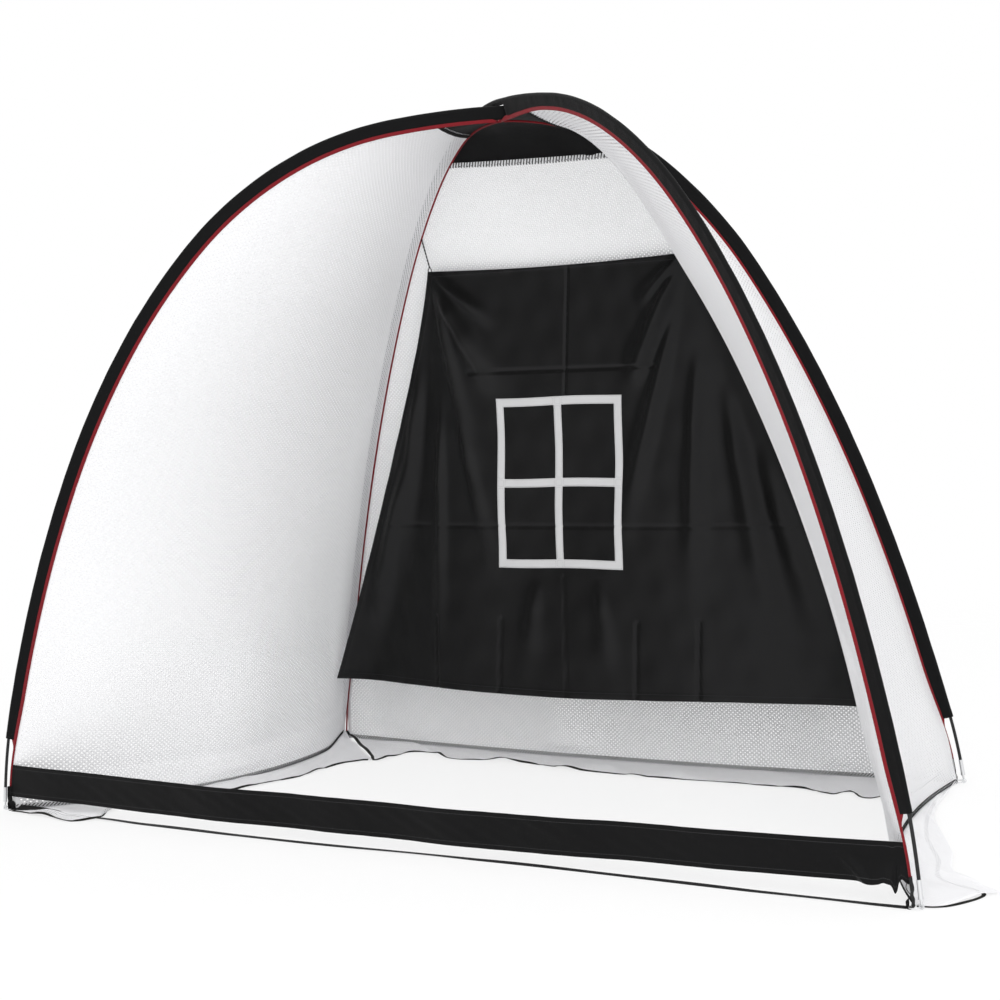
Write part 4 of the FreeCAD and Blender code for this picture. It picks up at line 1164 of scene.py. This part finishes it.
def sheet_depth(x, z):
    """How far back the sheet lies at a place: flat in the middle, coming forward and back towards its
    edges, with long folds of the form exp(-(distance / width)^2), sharper creases and soft waves."""
    drop = np.clip((SHEET_TOP - z) / SHEET_DROP, 0, 1)
    left, right = sheet_edges(drop)
    flat = 0.420 - 0.130 * drop
    from_middle = x - SHEET_MIDDLE
    reach = np.where(from_middle < 0, SHEET_MIDDLE - left, right - SHEET_MIDDLE)
    outward = np.clip((np.abs(from_middle) - flat) / np.maximum(reach - flat, 1e-3), 0, 1)
    depth = SHEET_Y + 0.090 * drop * (smooth(outward) - 0.5)
    fold = sizes().sheet_fold
    for lines, sign in ((FOLD_LINES, -1), (CREASES, 1)):
        for start, end, width, share in lines:
            distance, along = near_line(x, z, start, end)
            fade = smooth(along / 0.30) * smooth((1 - along) / 0.55) if sign < 0 else 1.0
            spread = width * (0.45 + 0.75 * np.clip(along, 0, 1)) if sign < 0 else width
            depth = depth + sign * fold * share * np.exp(-(distance / spread) ** 2) * fade
    depth = depth + ripple(x, z * 0.5, 0.42, 5.5) * 0.0035 * (0.3 + drop)
    depth = depth + ripple(x, z, 0.10, 6.1) * 0.0007
    edge = smooth((outward - 0.3) / 0.5)
    return depth + np.sin(outward * 9.0 + z * 2.0) * 0.008 * edge * smooth(drop / 0.5)


class PITCHINGNET_OT_target(bpy.types.Operator):
    """Hanging target sheet, its strike zone frame and its two ties"""

    bl_idname = "pitching_net.target"
    bl_label = "Target sheet"

    def execute(self, context):
        self.sheet()
        self.zone()
        self.ties()
        return {"FINISHED"}

    def sheet(self):
        """The black sheet with a sewn hem all round."""
        rows, columns = 230, 250
        drop = np.linspace(0, 1, rows)[:, None]
        place = np.linspace(0, 1, columns)[None]
        left, right = sheet_edges(drop)
        x = left + (right - left) * place
        sway = np.sin(place * math.pi)
        hem_wave = 0.006 * np.sin(place * 9 + 0.6) * smooth((drop - 0.9) / 0.1) * sway
        z = SHEET_TOP - SHEET_DROP * drop - 0.010 * sway * (1 - drop) ** 8 + hem_wave
        y = sheet_depth(x, z)
        along = SHEET_TOP - z
        aside = np.minimum(x - left, right - x)
        edge = np.minimum(aside, np.minimum(along + 0.002, SHEET_DROP * (1 - drop)))
        y = y - 0.0006 * (edge < SHEET_HEM)
        piece = surface("target_cloth", np.stack([x, y, z], axis=-1), laid_out(x, along), seam=edge)
        # The slope of the folds, stored for the painted highlight and painted shade on the sheet
        slope = np.gradient(y, axis=1) / np.gradient(x, axis=1) * 0.75
        slope = slope - np.gradient(y, axis=0) / np.gradient(z, axis=0)
        add_attribute(piece.data, "crest", slope * 3.4)
        material = kept("target_nylon", target_paint, tuple(colours().black_cloth))
        finish(piece, "target", material, "black_target_cloth", "target_sheet")
        area = cloth_area(piece)
        thickened(piece, sizes().cloth_thickness)

    def zone(self):
        """Tape sewn on as a frame with a cross, lying on the sheet's own surface."""
        width, height, tape, middle = 0.459, 0.542, 0.027, 0.938
        columns, rows = 102, 120
        x = np.linspace(-width / 2, width / 2, columns)[None] + np.zeros((rows, 1))
        z = np.linspace(height / 2, -height / 2, rows)[:, None] + np.zeros((1, columns))
        for values, half in ((x, width / 2), (z, height / 2)):
            for mark in (-half + tape, half - tape, -tape / 2, tape / 2):
                step = (2 * half) / (columns - 1 if values is x else rows - 1)
                values[np.abs(values - mark) < step / 2] = mark
        lean = 0.004 - 0.0165 * (0.5 - z / height) + 0.0022 * np.sin(z * 17 + x * 3)
        sag = 0.0016 * np.sin(x * 15 + 0.7)
        sheet_x, sheet_z = x + SHEET_MIDDLE + lean, z + middle + sag
        grid = np.stack([sheet_x, sheet_depth(sheet_x, sheet_z) - 0.0012, sheet_z], axis=-1)
        side = np.minimum(width / 2 - np.abs(x), height / 2 - np.abs(z))
        inner = np.minimum(np.abs(np.abs(x) - tape / 2), np.abs(np.abs(z) - tape / 2))
        edge = np.minimum(side, np.minimum(inner, np.abs(side - tape)))
        piece = surface("zone_tape_frame", grid, laid_out(x, z), seam=edge)
        centre_x = (x[:-1, :-1] + x[1:, 1:]) / 2
        centre_z = (z[:-1, :-1] + z[1:, 1:]) / 2
        cloth = (np.abs(centre_x) > width / 2 - tape) | (np.abs(centre_z) > height / 2 - tape)
        cloth |= (np.abs(centre_x) < tape / 2) | (np.abs(centre_z) < tape / 2)
        self.cut(piece, cloth.ravel())
        material = kept("zone_tape", tape_paint, tuple(colours().tape))
        finish(piece, "target", material, "grey_tape", "strike_zone_frame")
        thickened(piece, 0.0008)

    def cut(self, piece, stays):
        """Removes the faces that don't stay, and the points that only they used."""
        mesh = bmesh.new()
        mesh.from_mesh(piece.data)
        mesh.faces.ensure_lookup_table()
        gone = [mesh.faces[index] for index in np.flatnonzero(~stays)]
        bmesh.ops.delete(mesh, geom=gone, context="FACES")
        mesh.to_mesh(piece.data)
        mesh.free()

    def ties(self):
        """A loop through each corner of the sheet, a two-strand cord and a knot at the rear piping."""
        material = black_thread()
        turns = np.linspace(0, 2 * math.pi, 40)
        sine, cosine = np.sin(turns), np.cos(turns)
        share = np.linspace(0, 1, 90)[:, None]
        for side, (hole_x, knot) in TIES.items():
            knot = np.array(knot) - MOVE
            hole = np.array((hole_x, SHEET_Y, EYELET_HEIGHT))
            loop = hole + UP * TIE_LOOP_LIFT
            ring = loop + np.stack([0 * turns, sine, cosine], axis=1) * TIE_LOOP_RADIUS
            piece = swept(f"tie_loop_{side}", ring, ring_profile(0.0015, 8), start=(1, 0, 0))
            finish(piece, "target", material, "black_cord", f"target_tie_{side}")
            for number, turned in ((1, 0), (2, math.pi)):
                twist = share * 26 + turned
                aside = np.concatenate([np.cos(twist), np.sin(twist), 0 * twist], axis=1)
                path = mixed(loop + UP * TIE_LOOP_RADIUS, knot, share) + aside * TIE_STRAND_RADIUS
                strand = ring_profile(TIE_STRAND_RADIUS, 6)
                piece = swept(f"tie_cord_{side}_{number}", path, strand, start=(1, 0, 0))
                finish(piece, "target", material, "black_cord")
            path = knot + trefoil(turns, 1.0) * 0.0009
            piece = swept(f"tie_knot_{side}", path, ring_profile(0.0010, 8))
            finish(piece, "target", material, "black_cord")
            path = hole - (0, 0.0006, 0) + np.stack([sine, 0 * turns, cosine], axis=1) * 0.0045
            piece = swept(f"eyelet_{side}", path, ring_profile(0.0011, 6), start=(0, 1, 0))
            finish(piece, "target", material, "black_cord")


# Band, straps and skirts


# Where the band's lower edge hangs near its right end: middle, width and depth of each scallop
BAND_SCALLOPS = (
    (0.095, 0.020, 0.004), (0.062, 0.010, -0.004), (0.036, 0.0055, 0.021), (0.020, 0.007, -0.012),
    (0.030, 0.003, 0.006),
)


class PITCHINGNET_OT_band(bpy.types.Operator):
    """Low black band across the front"""

    bl_idname = "pitching_net.band"
    bl_label = "Front band"

    def execute(self, context):
        place = np.concatenate([np.linspace(0, 0.95, 330)[:-1], np.linspace(0.95, 1, 110)])
        low, high = (
            edge + BAND_RISE * place - BAND_BOW * 4 * place * (1 - place) for edge in BAND_EDGES
        )
        from_end = (1 - place) * BAND_LENGTH
        for middle, width, depth in BAND_SCALLOPS:
            low = low - depth * np.exp(-((from_end - middle) / width) ** 2)
        levels = np.linspace(0.04, 0.16, 13)
        share = np.linspace(0, 1, 26)[:, None]
        height = low + (high - low) * share
        start, end = (
            between(height, levels, np.array([corner.piping_at(level) for level in levels]))
            for corner in (FRONT_LEFT, FRONT_RIGHT)
        )
        grid = mixed(start, end, place[None, :, None])
        grid[..., 2] = height
        run = place[None] * BAND_LENGTH
        held = np.sin(math.pi * place)[None]
        wave = 0.006 * held * np.sin(2 * math.pi * 3 * place)[None]
        wave = wave + ripple(run * 0.8, share * 0.06, 0.30, 2.7) * 0.0045 * np.sqrt(held)
        wave = wave + ripple(run + share * 0.2, share * 0.1, 0.09, 4.4) * 0.0012 * np.sqrt(held)
        curl = 0.020 * np.exp(-((from_end - 0.060) / 0.050) ** 2)[None] * (1 - smooth(share / 0.55))
        pleat = 0.010 * np.exp(-((from_end - 0.110 - share * 0.09) / 0.016) ** 2)
        pleat = pleat * smooth((0.8 - share) / 0.5)
        grid[..., 1] += wave - (curl + pleat) * smooth(from_end / 0.030)
        edge = np.minimum(share, 1 - share) * BAND_WIDTH + 0 * run
        piece = surface("black_band", grid, laid_out(run, share * BAND_WIDTH), seam=edge)
        material = kept("band_nylon", band_paint, tuple(colours().black_cloth))
        finish(piece, "tent", material, "black_band_cloth", "front_band")
        thickened(piece, sizes().cloth_thickness)
        return {"FINISHED"}


# The webbing's way round the ring: how deep inside the foot and how high
ROUND_RING = [
    (0.02125, 0.010), (0.02150, 0.0022), (0.0240, 0.00078), (0.0325, 0.00078), (0.0351, 0.0024),
    (0.03525, 0.010), (0.03525, 0.019), (0.0318, 0.0236), (0.0288, 0.0262),
]
# The elastic loop at the front right foot: deep, wide and high
ELASTIC = [
    (0.030, -0.012, 0.070), (0.041, -0.013, 0.056), (0.043, -0.013, 0.045), (0.037, -0.0125, 0.035),
    (0.030, -0.0122, 0.0305), (0.025, -0.012, 0.036), (0.023, -0.0118, 0.047), (0.026, -0.012, 0.060),
    (0.030, -0.012, 0.070),
]


def corner_path(corner, foot):
    """Middle line of a corner's webbing: from the piping's end down, round the ring and up again. Where the
    piping reaches down to the ring, the webbing is only a short loop."""
    if corner.piping_foot < 0.04:
        marks = [(0.0262, 0.0265), (0.0235, 0.0255), (0.02125, 0.022), *ROUND_RING]
    else:
        end = corner.pole.piping(np.array([corner.from_foot(corner.piping_foot)]))[0]
        bend = corner.piping_at(0.042)
        low_deep = (bend - foot) @ corner.inward
        lean = ((end - foot) @ corner.inward - low_deep) / (end[2] - bend[2])
        top = end[2] + 0.001
        marks = [
            (low_deep + lean * (top - bend[2]), top), (low_deep + lean * 0.02, bend[2] + 0.02),
            (low_deep, bend[2]), (0.0235, 0.0285), (0.02125, 0.024), *ROUND_RING, (0.0262, 0.0275),
        ]
    return resampled([corner.place(foot, deep, 0, high) for deep, high in marks], 70)


class PITCHINGNET_OT_webbing(bpy.types.Operator):
    """Webbing loops at the corners, the strap along the ground and the elastic loop"""

    bl_idname = "pitching_net.webbing"
    bl_label = "Webbing"

    def execute(self, context):
        material = kept("strap_webbing", webbing_paint, tuple(colours().webbing))
        feet = {}
        for name, corner in CORNERS.items():
            middle = np.mean(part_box(f"ring_{name}"), axis=0) - MOVE
            reach = math.cos(math.asin(RING_DROP / (2 * RING_RADIUS))) * RING_RADIUS
            foot = middle - corner.inward * reach
            foot[2] = 0.0
            feet[name] = foot
            path = corner_path(corner, foot)
            piece = swept(f"corner_webbing_{name}", path, band_profile(*WEBBING), start=corner.inward)
            finish(piece, "tent", material, "black_webbing", f"corner_strap_{name}")
        share = np.linspace(0, 1, 240)
        start = FRONT_LEFT.place(feet["front_left"], STRAP_START, 0, 0)
        end = FRONT_RIGHT.place(feet["front_right"], STRAP_START, 0, 0)
        path = mixed(start, end, share[:, None])
        path[:, 1] += 0.012 * np.sin(math.pi * share) * np.cos(3 * math.pi * share)
        path[:, 2] = 0.00075 + 0.0021 * (1 - smooth((share - 0.13) / 0.05))
        turn = 5 * ripple(share * 3, 0, 0.5, 1.2)
        turn = turn - 52 * (1 - smooth((share - 0.02) / 0.085)) * smooth(share / 0.012)
        path[:, 2] += np.abs(np.sin(np.radians(turn))) * 0.010
        piece = swept("front_ground_strap", path, band_profile(*WEBBING), turn=turn)
        finish(piece, "tent", material, "black_webbing", "ground_strap")
        path = resampled([FRONT_RIGHT.place(feet["front_right"], *mark) for mark in ELASTIC], 80)
        piece = swept("elastic_loop", path, ring_profile(0.0011, 8), start=FRONT_RIGHT.sideways)
        finish(piece, "tent", black_thread(), "black_cord")
        return {"FINISHED"}


# raised is how far each end of a skirt stands up beside its wall
Skirt = namedtuple("Skirt", "outline hem seed raised")
SKIRTS = {
    "left": Skirt(LEFT_HEM, LEFT_HEM, 1.6, (0.0, 0.012)),
    "back": Skirt(BACK_HEM, BACK_HEM, 3.7, (0.014, 0.044)),
    "right": Skirt(RIGHT_EDGE, RIGHT_HEM, 2.9, (0.0, 0.0)),
}


class PITCHINGNET_OT_skirts(bpy.types.Operator):
    """Mesh skirts on the ground and their bound, wavy hems"""

    bl_idname = "pitching_net.skirts"
    bl_label = "Skirts and hems"

    def execute(self, context):
        for name, skirt in SKIRTS.items():
            self.hem(name, skirt, self.skirt(name, skirt))
        return {"FINISHED"}

    def skirt(self, name, skirt):
        """Mesh from a wall's foot to the skirt's outline, rumpled between them. Returns its points."""
        columns = 300
        foot = resampled(wall(name)[0][-1], columns)
        edge = resampled([(x, y, 0.0) for x, y in skirt.outline], columns)
        share = np.linspace(0, 1, 36)[:, None]
        grid = mixed(foot[None], edge[None], share[..., None])
        across = runs_along(edge)[None]
        width = np.linalg.norm(edge - foot, axis=1)[None]
        along = share * width
        rumple = ripple(across, along * 0.8, 0.19, skirt.seed) * 0.5 + 0.5
        fine = ripple(across, along, 0.07, skirt.seed + 2) * 0.5 + 0.5
        inside = np.sin(math.pi * share) ** 0.7 * smooth(width / 0.10)
        lift = (rumple * 0.013 + fine * 0.003) * inside
        wave = smooth((share - 0.6) / 0.4) * np.maximum(ripple(across, 0, 0.16, skirt.seed + 4), 0) * 0.006
        rise = mixed(foot[None, :, 2] - SKIRT_HEIGHT, 0.0, smooth(share * 3))
        grid[..., 2] = SKIRT_HEIGHT + rise + lift + wave
        place = np.linspace(0, 1, columns)[None]
        ends = skirt.raised[0] * smooth(1 - place / 0.03) + skirt.raised[1] * smooth((place - 0.965) / 0.035)
        grid[..., 2] += ends * (1 - smooth(share / 0.9)) * smooth(share / 0.04)
        if name == "right":
            grid[..., 2] += 0.0022 * smooth(share / 0.1)
        distance = np.maximum(width - along, 0.0)
        piece = surface(f"mesh_skirt_{name}", grid, laid_out(across, along), seam=distance)
        cell = sizes().mesh_cell * 0.9
        # The skirt's mesh has strong painted shade round its holes
        mesh = kept("skirt_mesh", net_paint, tuple(colours().mesh), cell, 0.62, 0.55, 0.004)
        finish(piece, "tent", mesh, "white_skirt_cloth", f"skirt_{name}")
        area = cloth_area(piece)
        return grid

    def hem(self, name, skirt, grid):
        """Binding along the skirt's outer edge. At the back it also runs up both ends, and at the right it
        has a line of its own."""
        line = grid[-1]
        if name == "back":
            line = np.concatenate([grid[2:-1, 0], line, grid[2:-1, -1][::-1]])
        if name == "right":
            line = resampled([(x, y, 0.0008) for x, y in skirt.hem], 300)
        line = resampled(line[::4], 420)
        line[:, 2] += 0.0004
        run = np.linspace(0, float(np.linalg.norm(np.diff(line, axis=0), axis=1).sum()), 420)
        turn = 26 * ripple(run, 0, 0.16, skirt.seed + 5) * (0.3 if name == "right" else 1.0)
        line[:, 2] += np.abs(np.sin(np.radians(turn))) * 0.0055
        piece = swept(f"bound_hem_{name}", line, band_profile(*BINDING), turn=turn)
        material = kept("hem_binding", binding_paint, tuple(colours().binding))
        finish(piece, "tent", material, "black_binding", f"hem_{name}")


class PITCHINGNET_OT_hardware(bpy.types.Operator):
    """Finishes on the poles, ferrules, pins and rings"""

    bl_idname = "pitching_net.hardware"
    bl_label = "Poles and metal"

    def execute(self, context):
        pole = kept("pole_fibreglass", fibreglass_paint, tuple(colours().pole))
        steel = kept("bright_steel", steel_paint, tuple(colours().steel))
        for name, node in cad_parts.items():
            if "section" in name:
                material = pole
            elif "ferrule" in name or name.startswith(("pin_", "ring_")):
                material = steel
            else:
                continue
            if not node.material_slots:
                node.data.materials.append(material)
            for holder in node.material_slots:
                holder.material = material
        return {"FINISHED"}


class PITCHINGNET_OT_stage(bpy.types.Operator):
    """Pale floor, soft studio lights and the camera"""

    bl_idname = "pitching_net.stage"
    bl_label = "Stage"

    def execute(self, context):
        context.scene.view_settings.view_transform = "Standard"
        self.floor()
        self.world()
        self.lamp("key", (3.4, -4.4, 4.4), size=2.2, power=62)
        self.lamp("fill", (3.4, -3.9, 1.5), size=3.0, power=40)
        self.lamp("top", (-0.6, -0.4, 5.2), size=3.0, power=22)
        self.camera()
        return {"FINISHED"}

    def floor(self):
        """A round floor that looks white to the camera, keeps the shadows and fades out far away."""
        half = 5.5
        marks = np.linspace(-half, half, 9)
        x, y = np.meshgrid(marks, marks, indexing="xy")
        grid = np.stack([x, y, np.full_like(x, -0.0004)], axis=-1)
        piece = surface("floor", grid, np.stack([x, y], axis=-1))
        paint = Paint("floor_paper", tuple(colours().floor), 0.8, Specular_IOR_Level=0.1)
        cloud = paint.noise(paint.place(), 0.7)
        paint.colour_from(paint.tint(cloud, 0.01))
        seen = self.seen(paint.tree)
        glow = paint.node("ShaderNodeEmission", {"Color": (1, 1, 1, 1), "Strength": 1.0})
        lit = paint.node("ShaderNodeMixShader", {0: paint.math("MULTIPLY", seen, 0.72)})
        paint.tree.links.new(paint.shader.outputs[0], lit.inputs[1])
        paint.tree.links.new(glow.outputs[0], lit.inputs[2])
        reach = paint.node("ShaderNodeVectorMath", {0: paint.place()}, operation="LENGTH").outputs["Value"]
        faded = paint.node("ShaderNodeMixShader", {0: paint.ramp(reach, 2.6, 5.0)})
        paint.tree.links.new(lit.outputs[0], faded.inputs[1])
        paint.tree.links.new(paint.node("ShaderNodeBsdfTransparent").outputs[0], faded.inputs[2])
        output = next(node for node in paint.tree.nodes if node.type == "OUTPUT_MATERIAL")
        paint.tree.links.new(faded.outputs[0], output.inputs["Surface"])
        piece.data.materials.append(paint.material)

    def seen(self, tree):
        """1 for what the camera sees straight, in a reflection or through glass."""
        rays = tree.nodes.new("ShaderNodeLightPath")
        total = rays.outputs["Is Camera Ray"]
        for kind in ("Is Glossy Ray", "Is Transmission Ray"):
            most = tree.nodes.new("ShaderNodeMath")
            most.operation = "MAXIMUM"
            tree.links.new(total, most.inputs[0])
            tree.links.new(rays.outputs[kind], most.inputs[1])
            total = most.outputs[0]
        return total

    def world(self):
        """Even pale light that looks white to the camera."""
        world = bpy.data.worlds.new("studio")
        bpy.context.scene.world = world
        world.use_nodes = True
        tree = world.node_tree
        back = tree.nodes["Background"]
        pick = tree.nodes.new("ShaderNodeMapRange")
        pick.inputs[3].default_value = 0.95
        pick.inputs[4].default_value = 1.0
        tree.links.new(self.seen(tree), pick.inputs[0])
        tree.links.new(pick.outputs[0], back.inputs["Strength"])
        back.inputs["Color"].default_value = (1, 1, 1, 1)

    def turned(self, name, data, place, right, back):
        """Puts a lamp or a camera at a place, with its right side and its back turned as given."""
        piece = bpy.data.objects.new(name, data)
        bpy.context.scene.collection.objects.link(piece)
        turn = np.stack([right, np.cross(back, right), back], axis=1)
        piece.matrix_world = Matrix.Translation(place) @ Matrix(turn.tolist()).to_4x4()
        return piece

    def lamp(self, name, place, size, power):
        """A square area lamp that faces the middle of the net."""
        light = bpy.data.lights.new(name, "AREA")
        light.size = size
        light.energy = power
        back = unit(np.array(place) - np.array((0, 0.1, 0.9)))
        self.turned(name, light, place, unit(np.cross((0.01, 0, 1), back)), back)

    def camera(self):
        """A camera at the photograph's place and angle."""
        data = bpy.data.cameras.new("camera")
        data.sensor_fit = "HORIZONTAL"
        data.sensor_width = 36.0
        data.lens = 74.45
        data.clip_end = 60.0
        place = np.array((3.331, -4.559, 1.415)) + MOVE
        back = -unit(np.array((-0.539, 0.838, -0.080)))
        right = np.array((0.842, 0.536, -0.054))
        right = unit(right - back * (right @ back))
        bpy.context.scene.camera = self.turned("camera", data, place.tolist(), right, back)


class PITCHINGNET_PT_panel(bpy.types.Panel):
    """Lists the pieces, their colours and their sizes"""

    bl_label = "Pitching Net"
    bl_space_type = "VIEW_3D"
    bl_region_type = "UI"
    bl_category = "Pitching Net"

    def draw(self, context):
        for name in PIECES:
            self.layout.operator(f"pitching_net.{name}")
        for group in (context.scene.net_colours, context.scene.net_sizes):
            column = self.layout.column()
            for key in group.__annotations__:
                column.prop(group, key)


PIECES = ("stage", "hardware", "sleeves", "piping", "walls", "patches", "target", "band", "webbing", "skirts")
CLASSES = (
    NetColours, NetSizes, PITCHINGNET_OT_stage, PITCHINGNET_OT_hardware, PITCHINGNET_OT_sleeves,
    PITCHINGNET_OT_piping, PITCHINGNET_OT_walls, PITCHINGNET_OT_patches, PITCHINGNET_OT_target,
    PITCHINGNET_OT_band, PITCHINGNET_OT_webbing, PITCHINGNET_OT_skirts, PITCHINGNET_PT_panel,
)


def register():
    """Makes the classes and the scene's settings known."""
    for item in CLASSES:
        bpy.utils.register_class(item)
    bpy.types.Scene.net_colours = bpy.props.PointerProperty(type=NetColours)
    bpy.types.Scene.net_sizes = bpy.props.PointerProperty(type=NetSizes)


def unregister():
    """Takes them away again."""
    del bpy.types.Scene.net_sizes
    del bpy.types.Scene.net_colours
    for item in reversed(CLASSES):
        bpy.utils.unregister_class(item)


def main():
    """Makes every piece in order."""
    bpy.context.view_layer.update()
    register()
    for name in PIECES:
        getattr(bpy.ops.pitching_net, name)()


if __name__ == "__main__":
    main()
